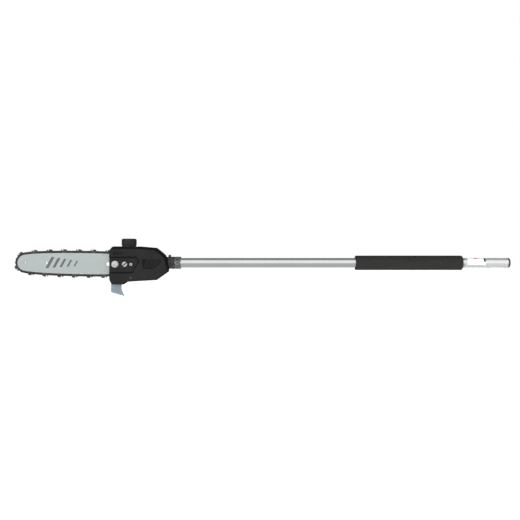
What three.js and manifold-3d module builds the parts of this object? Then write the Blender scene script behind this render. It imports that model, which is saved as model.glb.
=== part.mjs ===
// Pole saw attachment: a cutting head with guide bar and chain on a fixed aluminium pole, which plugs into
// a separate power head. Millimetres, +Z up. The origin is the centre of the square drive tip's end face, on
// the pole's axis. The pole and the saw head run from there along -X, and -Y is the chain cover's side.
import * as THREE from 'three';
import { mergeVertices } from 'three/addons/utils/BufferGeometryUtils.js';
import Module from 'manifold-3d';

const wasm = await Module();
wasm.setup();

// ---------------------------------------------------------------- driving dimensions
const POLE_RADIUS = 12.5;
const POLE_WALL = 1.5;
const SHAFT_RADIUS = 4;
const GRIP_RADIUS = 18.9;
const GRIP_ENDS = [-401, -123.8];
const HEAD_X = -943.5; // the sprocket's axis; the head's own frame starts here
const STUD_AT = { x: -75.9, z: -3.4 }; // the bar's stud, in the head's frame
const BAR_TILT = THREE.MathUtils.degToRad(0.9); // the bar points up a little towards its nose
const CHAIN_Y = -22; // middle plane of bar and chain
const CHAIN_LINKS = 80; // drive links and side links, turn and turn about
const SPROCKET_PITCH_RADIUS = 18.4; // six teeth of 3/8 inch low-profile chain
const NOSE_RADIUS = 20.7;
const NOSE_X = -233.8; // centre of the bar's nose, from the stud
const BAR_BELLY = 27; // half the bar's widest height
const RAIL_TO_RIVET = 3.7;
const WALL = 2.5; // moulded plastic walls
const GAP = 0.3; // between pieces that touch

const NECK_RADIUS = 16;
const NECK_BORE = POLE_RADIUS + 0.2;
const NECK_END = 71.2;
const LOCATING_SCREW_X = 58; // on top of the neck
const CLAMP_SPAN = [71.6, 87.4];
const PANEL_FLOOR_Y = -38.5;
const COVER_FACE_Y = -44;
const COVER_BEVEL_Y = -36;
const COVER_RIM_Y = -16;
const HOUSING_FRONT_Y = -15.7;
const PARTING_Y = 0.15;
const BACK_FACE_Y = 34;
const CAP_AT = { x: -51.2, y: 14 };
const CAP_RADII = { skirt: 18.6, foot: 19.9, shoulder: 19.3, top: 17.8 };
const PUMP_AT = { x: -10.2, y: 18.8 };
const TENSION_X = 24.6; // tension screw, from the stud along the bar
const TENSION_Y = -29.8;
const PIN_X = 40; // tension pin, from the stud along the bar

// Outlines in the head's frame, as [x, z], anticlockwise seen from the chain cover's side.
const COVER_RIM = [
  [-90.9, -31], [-90.4, -44], [-84.8, -55.3], [-54.9, -55.3], [-49.5, -47.9], [26.2, -43.5], [30.5, -40.8],
  [57.3, -21.8], [58.2, -15], [52.6, 13.8], [49.3, 19.7], [41.7, 26.5], [27.5, 37.6], [-11.8, 41], [-83.6, 41.5],
  [-90.9, 33],
];
const COVER_FACE = [
  [-89.8, -30.5], [-89.3, -43.3], [-84, -54], [-55.6, -54], [-50.2, -46.9], [25.6, -42.3], [29.4, -39.8],
  [55.4, -20.8], [56.2, -15], [49.6, 11.2], [46, 16], [38.9, 22], [24.8, 31.8], [-12, 34.9], [-82.2, 35.2],
  [-89.8, 30],
];
const PANEL = [[-94, -24], [-31.8, -24], [-15.9, 4], [-21.5, 13.2], [-94, 13.2]];
const PANEL_BACK = [[-97, -26.5], [-30.2, -26.5], [-12.6, 4.4], [-19.8, 15.7], [-97, 15.7]];
const HOUSING = [
  [-86, -31], [-84.5, -43], [-80, -46], [-50, -46.6], [17.5, -43], [50, -21.5], [53.6, -14], [53.6, 10],
  [45, 16.8], [16.5, 38.6], [-12, 40.2], [-80, 39.8], [-86, 29],
];
const HOOK_SKIRT = [[-84.5, -42], [-81, -53.5], [-59, -53.5], [-51, -45.6], [-51, -42]]; // below the front half
const BADGE = [[-2.8, -14.5], [21.8, -14.5], [41.1, -1.3], [41.1, 8.3], [-6.1, 8.3]];

// ---------------------------------------------------------------- materials
const paint = (color, roughness, metalness) => new THREE.MeshStandardMaterial({ color, roughness, metalness });
const blackPlastic = paint(0x242424, 0.55, 0);
const capPlastic = paint(0x303030, 0.5, 0);
const castMetal = paint(0x3c3c3c, 0.65, 0.4);
const clampMetal = paint(0x6c6d68, 0.5, 0.7);
const aluminium = paint(0xc8c9ca, 0.28, 1);
const foamRubber = paint(0x363634, 0.8, 0);
const barSteel = paint(0xb0bab9, 0.35, 0.9);
const chainSteel = paint(0x3b3b3b, 0.4, 0.9);
const brightSteel = paint(0xd6d6d6, 0.25, 1);
const shaftSteel = paint(0x8d9092, 0.35, 1);
const hookSteel = paint(0x8d9fa9, 0.4, 0.8);
const tankPlastic = paint(0xd9d6c4, 0.5, 0);
const sealRubber = paint(0x1b1b1b, 0.8, 0);
const whiteLabel = paint(0xf4f4f2, 0.6, 0);
const bronze = paint(0x9a7340, 0.4, 0.9);

// ---------------------------------------------------------------- solids
function solidOf(geometry) {
  const bare = geometry.clone();
  bare.deleteAttribute('normal');
  bare.deleteAttribute('uv');
  const merged = mergeVertices(bare, 1e-4);
  const build = (triVerts) => new wasm.Manifold(
    new wasm.Mesh({ numProp: 3, vertProperties: merged.attributes.position.array, triVerts }));
  const faces = new Uint32Array(merged.index.array);
  const made = build(faces);
  if (made.volume() > 0) return made;
  for (let i = 0; i < faces.length; i += 3) [faces[i + 1], faces[i + 2]] = [faces[i + 2], faces[i + 1]];
  return build(faces);
}

function geometryOf(solid) {
  const mesh = solid.getMesh();
  const positions = new Float32Array(mesh.numVert * 3);
  for (let i = 0; i < mesh.numVert; i += 1) {
    positions.set(mesh.vertProperties.subarray(i * mesh.numProp, i * mesh.numProp + 3), i * 3);
  }
  return new THREE.BufferGeometry()
    .setAttribute('position', new THREE.BufferAttribute(positions, 3))
    .setIndex(new THREE.BufferAttribute(mesh.triVerts, 1));
}

const join = (...solids) => solids.reduce((whole, next) => whole.add(next));
const cut = (body, ...tools) => tools.reduce((left, tool) => left.subtract(tool), body);

function block([x0, x1], [y0, y1], [z0, z1]) {
  const box = new THREE.BoxGeometry(x1 - x0, y1 - y0, z1 - z0);
  return solidOf(box.translate((x0 + x1) / 2, (y0 + y1) / 2, (z0 + z1) / 2));
}

function rodY(radius, [y0, y1], x = 0, z = 0, sides = 20, radiusAtTop = radius) {
  const rod = new THREE.CylinderGeometry(radiusAtTop, radius, y1 - y0, sides);
  return solidOf(rod.translate(x, (y0 + y1) / 2, z));
}

function rodX(radius, [x0, x1], y = 0, z = 0, sides = 20, radiusAtEnd = radius) {
  const rod = new THREE.CylinderGeometry(radiusAtEnd, radius, x1 - x0, sides).rotateZ(-Math.PI / 2);
  return solidOf(rod.translate((x0 + x1) / 2, y, z));
}

function rodZ(radius, [z0, z1], x = 0, y = 0, sides = 20, radiusAtTop = radius) {
  const rod = new THREE.CylinderGeometry(radiusAtTop, radius, z1 - z0, sides).rotateX(Math.PI / 2);
  return solidOf(rod.translate(x, y, (z0 + z1) / 2));
}

const ringY = (outer, inner, [y0, y1], x = 0, z = 0, sides = 20) =>
  cut(rodY(outer, [y0, y1], x, z, sides), rodY(inner, [y0 - 1, y1 + 1], x, z, sides));
const ringX = (outer, inner, [x0, x1], y = 0, z = 0, sides = 20) =>
  cut(rodX(outer, [x0, x1], y, z, sides), rodX(inner, [x0 - 1, x1 + 1], y, z, sides));
const ringZ = (outer, inner, [z0, z1], x = 0, y = 0, sides = 20) =>
  cut(rodZ(outer, [z0, z1], x, y, sides), rodZ(inner, [z0 - 1, z1 + 1], x, y, sides));

// A flat outline in the XZ plane, given thickness along Y.
function prism(outline, [y0, y1], curveSteps = 10) {
  const shape = outline instanceof THREE.Shape
    ? outline
    : new THREE.Shape(outline.map(([x, z]) => new THREE.Vector2(x, z)));
  const extrusion = new THREE.ExtrudeGeometry(shape, {
    depth: y1 - y0, bevelEnabled: false, curveSegments: curveSteps,
  });
  return solidOf(extrusion.rotateX(Math.PI / 2).translate(0, y1, 0));
}

// A solid whose outline changes from one XZ polygon to another with the same number of corners.
function loftY(lower, lowerY, upper, upperY) {
  const count = lower.length;
  const positions = [];
  for (const [x, z] of lower) positions.push(x, lowerY, z);
  for (const [x, z] of upper) positions.push(x, upperY, z);
  const faces = [];
  for (let i = 0; i < count; i += 1) {
    const next = (i + 1) % count;
    faces.push(i, next, count + next, i, count + next, count + i);
  }
  const corners = (outline) => outline.map(([x, z]) => new THREE.Vector2(x, z));
  for (const [a, b, c] of THREE.ShapeUtils.triangulateShape(corners(lower), [])) faces.push(a, c, b);
  for (const [a, b, c] of THREE.ShapeUtils.triangulateShape(corners(upper), [])) {
    faces.push(count + a, count + b, count + c);
  }
  const geometry = new THREE.BufferGeometry()
    .setAttribute('position', new THREE.Float32BufferAttribute(positions, 3))
    .setIndex(faces);
  return solidOf(geometry);
}

// Moves each side of an anticlockwise polygon inwards by a distance.
function inset(outline, distance) {
  const count = outline.length;
  const sides = outline.map(([x, z], i) => {
    const [nextX, nextZ] = outline[(i + 1) % count];
    const length = Math.hypot(nextX - x, nextZ - z);
    const direction = [(nextX - x) / length, (nextZ - z) / length];
    return { point: [x - direction[1] * distance, z + direction[0] * distance], direction };
  });
  return sides.map((side, i) => {
    const before = sides[(i + count - 1) % count];
    const turn = before.direction[0] * side.direction[1] - before.direction[1] * side.direction[0];
    if (Math.abs(turn) < 1e-6) return side.point; // the two sides are in line
    const dx = side.point[0] - before.point[0];
    const dz = side.point[1] - before.point[1];
    const along = (dx * side.direction[1] - dz * side.direction[0]) / turn;
    return [before.point[0] + before.direction[0] * along, before.point[1] + before.direction[1] * along];
  });
}

// ---------------------------------------------------------------- gears
// A straight bevel gear about +X, with the pair's crossing point at the origin and a tooth or a gap at +Y.
function bevelGear({ teeth, otherTeeth, module, face, gapFirst = false }) {
  const cone = Math.atan(teeth / otherTeeth);
  const pitchRadius = (module * teeth) / 2;
  const coneLength = pitchRadius / Math.sin(cone);
  const addendum = 0.75 * module;
  const dedendum = 1.15 * module;
  const halfTooth = (Math.PI * module * 0.82) / 4;
  const slope = Math.tan(THREE.MathUtils.degToRad(20));
  const level = (height, halfWidth) => {
    const radius = pitchRadius + height * Math.cos(cone);
    return { radius, x: coneLength * Math.cos(cone) - height * Math.sin(cone), half: halfWidth / radius };
  };
  const tip = level(addendum, halfTooth - addendum * slope);
  const root = level(-dedendum, halfTooth + dedendum * slope);
  const inner = (coneLength - face) / coneLength;
  const positions = [root.x, 0, 0, root.x * inner, 0, 0];
  const rim = teeth * 4;
  for (const scale of [1, inner]) {
    for (let i = 0; i < teeth; i += 1) {
      const middle = ((i + (gapFirst ? 0.5 : 0)) * 2 * Math.PI) / teeth;
      for (const [at, side] of [[root, -1], [tip, -1], [tip, 1], [root, 1]]) {
        const angle = middle + side * at.half;
        positions.push(at.x * scale, at.radius * scale * Math.cos(angle), at.radius * scale * Math.sin(angle));
      }
    }
  }
  const faces = [];
  for (let i = 0; i < rim; i += 1) {
    const next = (i + 1) % rim;
    const [outerA, outerB, innerA, innerB] = [2 + i, 2 + next, 2 + rim + i, 2 + rim + next];
    faces.push(outerA, outerB, innerB, outerA, innerB, innerA, 0, outerB, outerA, 1, innerA, innerB);
  }
  const geometry = new THREE.BufferGeometry()
    .setAttribute('position', new THREE.Float32BufferAttribute(positions, 3))
    .setIndex(faces);
  return solidOf(geometry);
}

// A ring of plain teeth as an outline, with a tooth at angle first.
function toothedOutline(teeth, tipRadius, rootRadius, tipShare, rootShare, first = 0) {
  const outline = [];
  for (let i = 0; i < teeth; i += 1) {
    const middle = first + (i * 2 * Math.PI) / teeth;
    const step = Math.PI / teeth;
    for (const [radius, offset] of [
      [rootRadius, -rootShare], [tipRadius, -tipShare], [tipRadius, tipShare], [rootRadius, rootShare],
    ]) {
      outline.push([radius * Math.cos(middle + offset * step), radius * Math.sin(middle + offset * step)]);
    }
  }
  return outline;
}

// A one-start worm about Y: its radius rises and falls along a helix.
function worm(rootRadius, tipRadius, lead, [y0, y1]) {
  const around = 14;
  const along = Math.round(((y1 - y0) / lead) * 6);
  const positions = [];
  for (let j = 0; j <= along; j += 1) {
    const y = y0 + ((y1 - y0) * j) / along;
    for (let i = 0; i < around; i += 1) {
      const angle = (i / around) * 2 * Math.PI;
      const phase = y / lead + angle / (2 * Math.PI);
      const wave = Math.cos(2 * Math.PI * phase);
      const height = THREE.MathUtils.clamp(wave * 1.1 - 0.15, 0, 1);
      const radius = rootRadius + (tipRadius - rootRadius) * height;
      positions.push(radius * Math.cos(angle), y, radius * Math.sin(angle));
    }
  }
  const faces = [];
  for (let j = 0; j < along; j += 1) {
    for (let i = 0; i < around; i += 1) {
      const [a, b] = [j * around + i, j * around + ((i + 1) % around)];
      faces.push(a, a + around, b + around, a, b + around, b);
    }
  }
  const [bottom, top] = [positions.length / 3, positions.length / 3 + 1];
  positions.push(0, y0, 0, 0, y1, 0);
  for (let i = 0; i < around; i += 1) {
    const next = (i + 1) % around;
    faces.push(bottom, i, next, top, along * around + next, along * around + i);
  }
  const geometry = new THREE.BufferGeometry()
    .setAttribute('position', new THREE.Float32BufferAttribute(positions, 3))
    .setIndex(faces);
  return solidOf(geometry);
}

// ---------------------------------------------------------------- the scene graph
const poleSaw = new THREE.Group();
const head = new THREE.Group();
head.position.x = HEAD_X;
const barFrame = new THREE.Group(); // origin at the stud, +X along the bar towards its tail
barFrame.position.set(STUD_AT.x, 0, STUD_AT.z);
barFrame.rotation.y = BAR_TILT;
head.add(barFrame);
poleSaw.add(head);

function place(group, name, solid, material) {
  const mesh = new THREE.Mesh(geometryOf(solid), material);
  mesh.name = name;
  group.add(mesh);
}

// A point of the head's frame, as seen from the bar's frame, and the way back.
function toBar(x, z) {
  const [dx, dz] = [x - STUD_AT.x, z - STUD_AT.z];
  return [
    dx * Math.cos(BAR_TILT) - dz * Math.sin(BAR_TILT),
    dx * Math.sin(BAR_TILT) + dz * Math.cos(BAR_TILT),
  ];
}

function fromBar(x, z) {
  return [
    STUD_AT.x + x * Math.cos(BAR_TILT) + z * Math.sin(BAR_TILT),
    STUD_AT.z - x * Math.sin(BAR_TILT) + z * Math.cos(BAR_TILT),
  ];
}

// ---------------------------------------------------------------- guide bar
// The outline of the bar in its own frame, grown outwards by a distance.
function barOutline(grow = 0) {
  const lead = THREE.MathUtils.degToRad(10);
  const noseEnd = new THREE.Vector2(NOSE_X - NOSE_RADIUS * Math.sin(lead), NOSE_RADIUS * Math.cos(lead));
  const meet = new THREE.Vector2(noseEnd.x + (BAR_BELLY - noseEnd.y) / Math.tan(lead), BAR_BELLY);
  const upper = [
    ...new THREE.QuadraticBezierCurve(noseEnd, meet, new THREE.Vector2(-74, BAR_BELLY)).getPoints(9),
    ...new THREE.QuadraticBezierCurve(
      new THREE.Vector2(-74, BAR_BELLY), new THREE.Vector2(-34, BAR_BELLY), new THREE.Vector2(-8, 25.4),
    ).getPoints(3).slice(1),
    new THREE.Vector2(49, 13.2),
    new THREE.Vector2(51, 9),
  ];
  const points = [...upper, ...upper.map((p) => new THREE.Vector2(p.x, -p.y)).reverse()];
  const noseSteps = 12;
  for (let i = 1; i < noseSteps; i += 1) {
    const angle = Math.PI / 2 + lead + (Math.PI - 2 * lead) * (1 - i / noseSteps);
    points.push(new THREE.Vector2(NOSE_X + NOSE_RADIUS * Math.cos(angle), NOSE_RADIUS * Math.sin(angle)));
  }
  const anticlockwise = points.reverse().map((p) => [p.x, p.y]);
  return grow === 0 ? anticlockwise : inset(anticlockwise, -grow);
}

const SLOT = { from: -27.3, to: 13, radius: 4.7 };
const NOSE_HOLE = { x: NOSE_X - 1.5, z: 0.6, radius: 2.3 };
const HANG_HOLE = { x: -180.2, z: 0.4, radius: 3.4 };
const BAR_SIDES = { near: [-23.95, -22.65], core: [-22.6, -21.4], far: [-21.35, -20.05] };

function barHoles(span) {
  const slot = join(
    rodY(SLOT.radius, span, SLOT.from + SLOT.radius, 0, 20),
    rodY(SLOT.radius, span, SLOT.to - SLOT.radius, 0, 20),
    block([SLOT.from + SLOT.radius, SLOT.to - SLOT.radius], span, [-SLOT.radius, SLOT.radius]));
  return [
    slot,
    rodY(NOSE_HOLE.radius, span, NOSE_HOLE.x, NOSE_HOLE.z, 14),
    rodY(HANG_HOLE.radius, span, HANG_HOLE.x, HANG_HOLE.z, 16),
    rodY(3, span, PIN_X, 0, 16),
  ];
}

function guideBar() {
  const through = [CHAIN_Y - 5, CHAIN_Y + 5];
  const grooveDepth = 6.5;
  for (const [name, span] of [['bar_side_plate_near', BAR_SIDES.near], ['bar_side_plate_far', BAR_SIDES.far]]) {
    place(barFrame, name, cut(prism(barOutline(), span), ...barHoles(through)), barSteel);
  }
  const coreOutline = inset(barOutline().filter(([x]) => x > NOSE_X - 12.5 && x < 50), grooveDepth);
  const core = cut(
    join(prism(coreOutline, BAR_SIDES.core), block([30, 50.5], BAR_SIDES.core, [-7, 7])),
    ...barHoles(through), rodY(15.8, through, NOSE_X, 0, 28));
  place(barFrame, 'bar_core_plate', core, barSteel);
  const hub = cut(
    rodY(5.2, BAR_SIDES.core, NOSE_X, 0, 24), rodY(NOSE_HOLE.radius, through, NOSE_HOLE.x, NOSE_HOLE.z, 14));
  place(barFrame, 'nose_bearing_hub', hub, shaftSteel);
  const star = prism(
    toothedOutline(8, 14.7, 10, 0.16, 0.62, Math.PI / 8).map(([x, z]) => [x + NOSE_X, z]), [-22.5, -21.5]);
  place(barFrame, 'nose_sprocket', cut(star, rodY(5.5, through, NOSE_X, 0, 24)), shaftSteel);
}

// ---------------------------------------------------------------- chain
// A tight chain lies on the convex hull of the bar's rails and the sprocket.
function convexHull(points) {
  const sorted = [...points].sort((a, b) => a[0] - b[0] || a[1] - b[1]);
  const half = (list) => {
    const kept = [];
    for (const p of list) {
      while (kept.length > 1) {
        const [a, b] = kept.slice(-2);
        if ((b[0] - a[0]) * (p[1] - a[1]) - (b[1] - a[1]) * (p[0] - a[0]) > 1e-9) break;
        kept.pop();
      }
      kept.push(p);
    }
    return kept.slice(0, -1);
  };
  return [...half(sorted), ...half(sorted.reverse())];
}

// Where the rivets sit, evenly spaced round the loop in the direction that the chain runs.
function rivets() {
  const [sprocketX, sprocketZ] = toBar(0, 0);
  const circle = Array.from({ length: 96 }, (_, i) => {
    const angle = (i * 2 * Math.PI) / 96;
    return [
      sprocketX + SPROCKET_PITCH_RADIUS * Math.cos(angle), sprocketZ + SPROCKET_PITCH_RADIUS * Math.sin(angle),
    ];
  });
  const loop = convexHull([...barOutline(RAIL_TO_RIVET), ...circle]);
  const path = new THREE.CurvePath();
  loop.forEach(([x, z], i) => {
    const [nextX, nextZ] = loop[(i + 1) % loop.length];
    path.add(new THREE.LineCurve(new THREE.Vector2(x, z), new THREE.Vector2(nextX, nextZ)));
  });
  const points = [];
  for (let i = 0; i < CHAIN_LINKS; i += 1) points.push(path.getPointAt(i / CHAIN_LINKS));
  return { points, pitch: path.getLength() / CHAIN_LINKS };
}

// A link's parts as [along, outwards], from one rivet towards the next, which is a pitch further on.
const BELT_HALF_HEIGHT = 2.9;
const driveTang = (p) => [[0.6, -2.4], [3.6, -8.7], [5.6, -8.7], [p - 0.6, -2.4]];
const cutter = (p) => [
  [-1, 2.4], [p + 2.4, 2.4], [p + 2.2, 5.7], [p + 0.6, 5.7], [p - 2, 3.2], [p - 2.6, 6.5], [-2.2, 5.6],
];
const cutterTop = (p) => [[-2.2, 4.7], [p - 2.8, 5.5], [p - 2.6, 6.5], [-2.2, 5.6]];

// The links' side plates overlap all the way round, so together they are one belt with teeth on both sides.
function chain() {
  const { points, pitch } = rivets();
  const ring = points.map((p) => [p.x, p.y]);
  const belt = cut(
    prism(inset(ring, -BELT_HALF_HEIGHT), [CHAIN_Y - 1.9, CHAIN_Y + 1.9]),
    prism(inset(ring, BELT_HALF_HEIGHT), [CHAIN_Y - 4, CHAIN_Y + 4]));
  const links = [belt];
  points.forEach((start, i) => {
    const end = points[(i + 1) % CHAIN_LINKS];
    const [tx, tz] = [(end.x - start.x) / pitch, (end.y - start.y) / pitch];
    const lay = (outline, span) =>
      prism(outline.map(([s, n]) => [start.x + s * tx + n * tz, start.y + s * tz - n * tx]), span);
    if (i % 2 === 0) links.push(lay(driveTang(pitch), [CHAIN_Y - 0.55, CHAIN_Y + 0.55]));
    const side = { 1: -1, 5: 1 }[i % 8];
    if (side) {
      const across = (inner, outer) => [CHAIN_Y + side * inner, CHAIN_Y + side * outer].sort((a, b) => a - b);
      links.push(lay(cutter(pitch), across(0.5, 1.8)), lay(cutterTop(pitch), across(-0.6, 3.1)));
    }
  });
  place(barFrame, 'saw_chain', wasm.Manifold.union(links), chainSteel);
}

// ---------------------------------------------------------------- drive line
const PINION_TEETH = 14;
const CROWN_TEETH = 17;
const GEAR_MODULE = 1.6;
const BEARING_RADIUS = 11;
const BEARING_SEAT = BEARING_RADIUS + 0.05;

function driveLine() {
  const pinionGear = bevelGear({
    teeth: PINION_TEETH, otherTeeth: CROWN_TEETH, module: GEAR_MODULE, face: 6,
  });
  const pinion = cut(
    join(pinionGear, rodX(SHAFT_RADIUS, [12, 40]), rodX(6, [36.5, 57])), rodX(SHAFT_RADIUS + 0.3, [46, 58]));
  place(head, 'pinion_shaft', pinion, shaftSteel);
  for (const [name, from] of [['pinion_bearing_front', 17], ['pinion_bearing_rear', 27]]) {
    place(head, name, ringX(BEARING_RADIUS, SHAFT_RADIUS + 0.15, [from, from + 6], 0, 0, 24), brightSteel);
  }
  const circlip = cut(ringX(11.6, 8.6, [33.3, 34.4]), block([33, 35], [-2, 2], [-13, -7]));
  place(head, 'pinion_circlip', circlip, shaftSteel);

  const crownGear = bevelGear({
    teeth: CROWN_TEETH, otherTeeth: PINION_TEETH, module: GEAR_MODULE, face: 6,
  }).rotate([0, 0, 90]);
  const crown = cut(
    join(crownGear, rodY(7.5, [10, 13.2])), rodY(SHAFT_RADIUS + 0.05, [0, 20]));
  place(head, 'crown_gear', crown, shaftSteel);
  place(head, 'output_shaft', rodY(SHAFT_RADIUS, [-28, 29.6]), shaftSteel);
  place(head, 'output_bearing_near', ringY(9.5, SHAFT_RADIUS + 0.15, [-16.5, -11.1], 0, 0, 24), brightSteel);
  place(head, 'output_bearing_far', ringY(BEARING_RADIUS, SHAFT_RADIUS + 0.15, [24.9, 29.9], 0, 0, 24), brightSteel);
  place(head, 'output_shaft_seal', ringY(9.4, SHAFT_RADIUS + 0.1, [-18, -16.7]), sealRubber);

  const rim = join(
    rodY(14.3, [CHAIN_Y - 2.4, CHAIN_Y - 0.8], 0, 0, 18), rodY(14.3, [CHAIN_Y + 0.8, CHAIN_Y + 2.4], 0, 0, 18),
    rodY(8.2, [CHAIN_Y - 2.4, CHAIN_Y + 2.4]));
  const windows = Array.from({ length: 6 }, (_, i) => {
    const angle = (i * Math.PI) / 3;
    return rodY(1.8, [CHAIN_Y - 5, CHAIN_Y + 5], 11.2 * Math.cos(angle), 11.2 * Math.sin(angle), 6);
  });
  place(head, 'sprocket', cut(rim, rodY(SHAFT_RADIUS + 0.05, [-30, -15]), ...windows), shaftSteel);
  place(head, 'sprocket_washer', ringY(8, SHAFT_RADIUS + 0.1, [-25.4, -24.6], 0, 0, 24), brightSteel);
  const clip = cut(
    ringY(6.4, SHAFT_RADIUS + 0.05, [-26.6, -25.6], 0, 0, 24), block([-2.2, 2.2], [-27, -25], [-8, 0]));
  place(head, 'sprocket_clip', clip, shaftSteel);

  place(poleSaw, 'drive_shaft', rodX(SHAFT_RADIUS, [HEAD_X + 46.4, -33.2]), shaftSteel);
  place(poleSaw, 'drive_tip', block([-33, 0], [-3.5, 3.5], [-3.5, 3.5]), brightSteel);
}

// ---------------------------------------------------------------- oil pump
const WORM_LEAD = Math.PI;
const OIL_PIPE = { y: PUMP_AT.y, z: 13 };

function oilPump() {
  const thread = worm(4.6, 5.8, WORM_LEAD, [15.2, 22.4]);
  place(head, 'pump_worm', cut(thread, rodY(SHAFT_RADIUS + 0.05, [10, 24])), bronze);
  const gear = solidOf(new THREE.ExtrudeGeometry(
    new THREE.Shape(toothedOutline(10, 5.3, 3.9, 0.2, 0.42).map(([x, y]) => new THREE.Vector2(x, y))),
    { depth: 4, bevelEnabled: false })).translate([PUMP_AT.x, PUMP_AT.y, -2]);
  const plunger = join(gear, rodZ(2.4, [-7, 15], PUMP_AT.x, PUMP_AT.y, 20));
  place(head, 'pump_plunger', plunger, bronze);
  const body = cut(
    join(
      block([-15, -5.4], [13.5, 24.1], [3.2, 19]),
      rodX(2, [-28, -14], OIL_PIPE.y, OIL_PIPE.z, 12)),
    rodZ(2.6, [2, 16], PUMP_AT.x, PUMP_AT.y), rodX(1.2, [-30, -12], OIL_PIPE.y, OIL_PIPE.z, 10));
  place(head, 'pump_body', body, aluminium);
}

// ---------------------------------------------------------------- gear case
function gearCase() {
  const outside = join(
    rodY(20, [-12.9, 24.4], 0, 0, 24), rodY(12.4, [-18.2, -12.8], 0, 0, 24),
    block([-18.8, -2], [4, 24.4], [-12, 24]), rodX(14.5, [8, 54]), rodX(NECK_RADIUS, [50, NECK_END], 0, 0, 24),
    rodZ(3.6, [12, 17], LOCATING_SCREW_X, 0, 16));
  const inside = [
    rodY(16.3, [-10, 26], 0, 0, 24), rodY(8.2, [-12, -9]), rodY(9.55, [-19, -11], 0, 0, 24),
    block([-15.4, -5.2], [13.1, 26], [-9, 19.4]), rodX(2.4, [-24, -14], OIL_PIPE.y, OIL_PIPE.z, 12),
    rodX(12.8, [8, 16]), rodX(BEARING_SEAT, [8, 34.6], 0, 0, 24), rodX(11.9, [33.1, 34.6]), rodX(9, [34, 52]),
    rodX(NECK_BORE, [50, NECK_END + 1], 0, 0, 24), rodZ(1.9, [11, 20], LOCATING_SCREW_X, 0, 16),
  ];
  place(head, 'gear_case', cut(outside, ...inside), castMetal);
  const lid = cut(
    join(rodY(20, [24.7, 27.4], 0, 0, 24), block([-18.8, -2], [24.7, 27.4], [-12, 24]), rodY(13.5, [27, 31])),
    rodY(BEARING_SEAT, [24, 30], 0, 0, 24));
  place(head, 'gear_case_lid', lid, castMetal);
  const plug = join(
    rodZ(3.4, [17.2, 21], LOCATING_SCREW_X, 0, 16, 2.9), rodZ(1.7, [13, 17.6], LOCATING_SCREW_X, 0, 12));
  place(head, 'pole_locating_screw', plug, shaftSteel);
}

// ---------------------------------------------------------------- pole, grip and coupler end
const LOCK_HOLE = { x: -22.7, radius: 4.5 };
const RIVET_X = [-54, -11];
const RIVET_HOLE_RADIUS = 1.45;
const BUSHING_X = [-700, -330];
const IN_TUBE_RADIUS = POLE_RADIUS - POLE_WALL - 0.2; // of what fits inside the pole

function poleTube() {
  const tube = cut(
    ringX(POLE_RADIUS, POLE_RADIUS - POLE_WALL, [HEAD_X + 51, -4.3], 0, 0, 24),
    rodZ(LOCK_HOLE.radius, [0, 20], LOCK_HOLE.x, 0, 14),
    ...RIVET_X.map((x) => rodZ(RIVET_HOLE_RADIUS, [-20, 0], x, 0, 12)),
    rodZ(1.9, [0, 20], HEAD_X + LOCATING_SCREW_X, 0, 16));
  place(poleSaw, 'pole_tube', tube, aluminium);
  const [left, right] = GRIP_ENDS;
  const [bore, edge] = [POLE_RADIUS + 0.15, 1.6];
  const profile = [
    [bore, left], [GRIP_RADIUS - edge, left], [GRIP_RADIUS, left + edge], [GRIP_RADIUS, right - edge],
    [GRIP_RADIUS - edge, right], [bore, right], [bore, left],
  ].map(([radius, x]) => new THREE.Vector2(radius, x));
  place(poleSaw, 'grip_sleeve', solidOf(new THREE.LatheGeometry(profile, 28).rotateZ(-Math.PI / 2)), foamRubber);
}

function shaftBushings() {
  const shape = ([from, to]) => cut(
    ringX(IN_TUBE_RADIUS, SHAFT_RADIUS + 0.08, [from, to], 0, 0, 24),
    ringX(20, 8.6, [from + 8, to - 8], 0, 0, 24));
  BUSHING_X.forEach((x, i) => {
    place(poleSaw, `shaft_bushing_${i + 1}`, shape([x - 13, x + 13]), tankPlastic);
  });
  const pinned = cut(
    ringX(IN_TUBE_RADIUS, SHAFT_RADIUS + 0.08, [-66, -44], 0, 0, 24),
    rodZ(RIVET_HOLE_RADIUS, [-20, 0], RIVET_X[0], 0, 12));
  place(poleSaw, 'shaft_bushing_3', pinned, tankPlastic);
}

function couplerEnd() {
  const bushing = cut(
    join(
      rodX(IN_TUBE_RADIUS, [-40, -3.5], 0, 0, 24), rodX(POLE_RADIUS, [-4, 0], 0, 0, 24)),
    rodX(9.7, [-34, 1], 0, 0, 20), rodX(SHAFT_RADIUS + 0.3, [-42, -30]),
    rodZ(LOCK_HOLE.radius, [0, 20], LOCK_HOLE.x, 0, 14), rodZ(RIVET_HOLE_RADIUS, [-20, 0], RIVET_X[1], 0, 12));
  place(poleSaw, 'coupler_end_bushing', bushing, sealRubber);
  RIVET_X.forEach((x, i) => {
    const reach = [-12.7, i === 0 ? -8 : -9.9];
    const rivet = join(rodZ(1.25, reach, x, 0, 12), rodZ(1.4, [-14, -12.7], x, 0, 14, 2.4));
    place(poleSaw, `coupler_rivet_${i + 1}`, rivet, brightSteel);
  });
  const label = ringX(POLE_RADIUS + 0.3, POLE_RADIUS + 0.06, [-111, -61.5], 0, 0, 24);
  const wrap = prism([[-112, -30], [-60, -30], [-60, -5], [-112, -5]], [-30, 30]);
  const behind = block([-112, -60], [3, 30], [-30, 30]);
  place(poleSaw, 'insertion_label', cut(label, wrap, behind), whiteLabel);
}

const CLAMP_SCREW_Y = -17;

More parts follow.
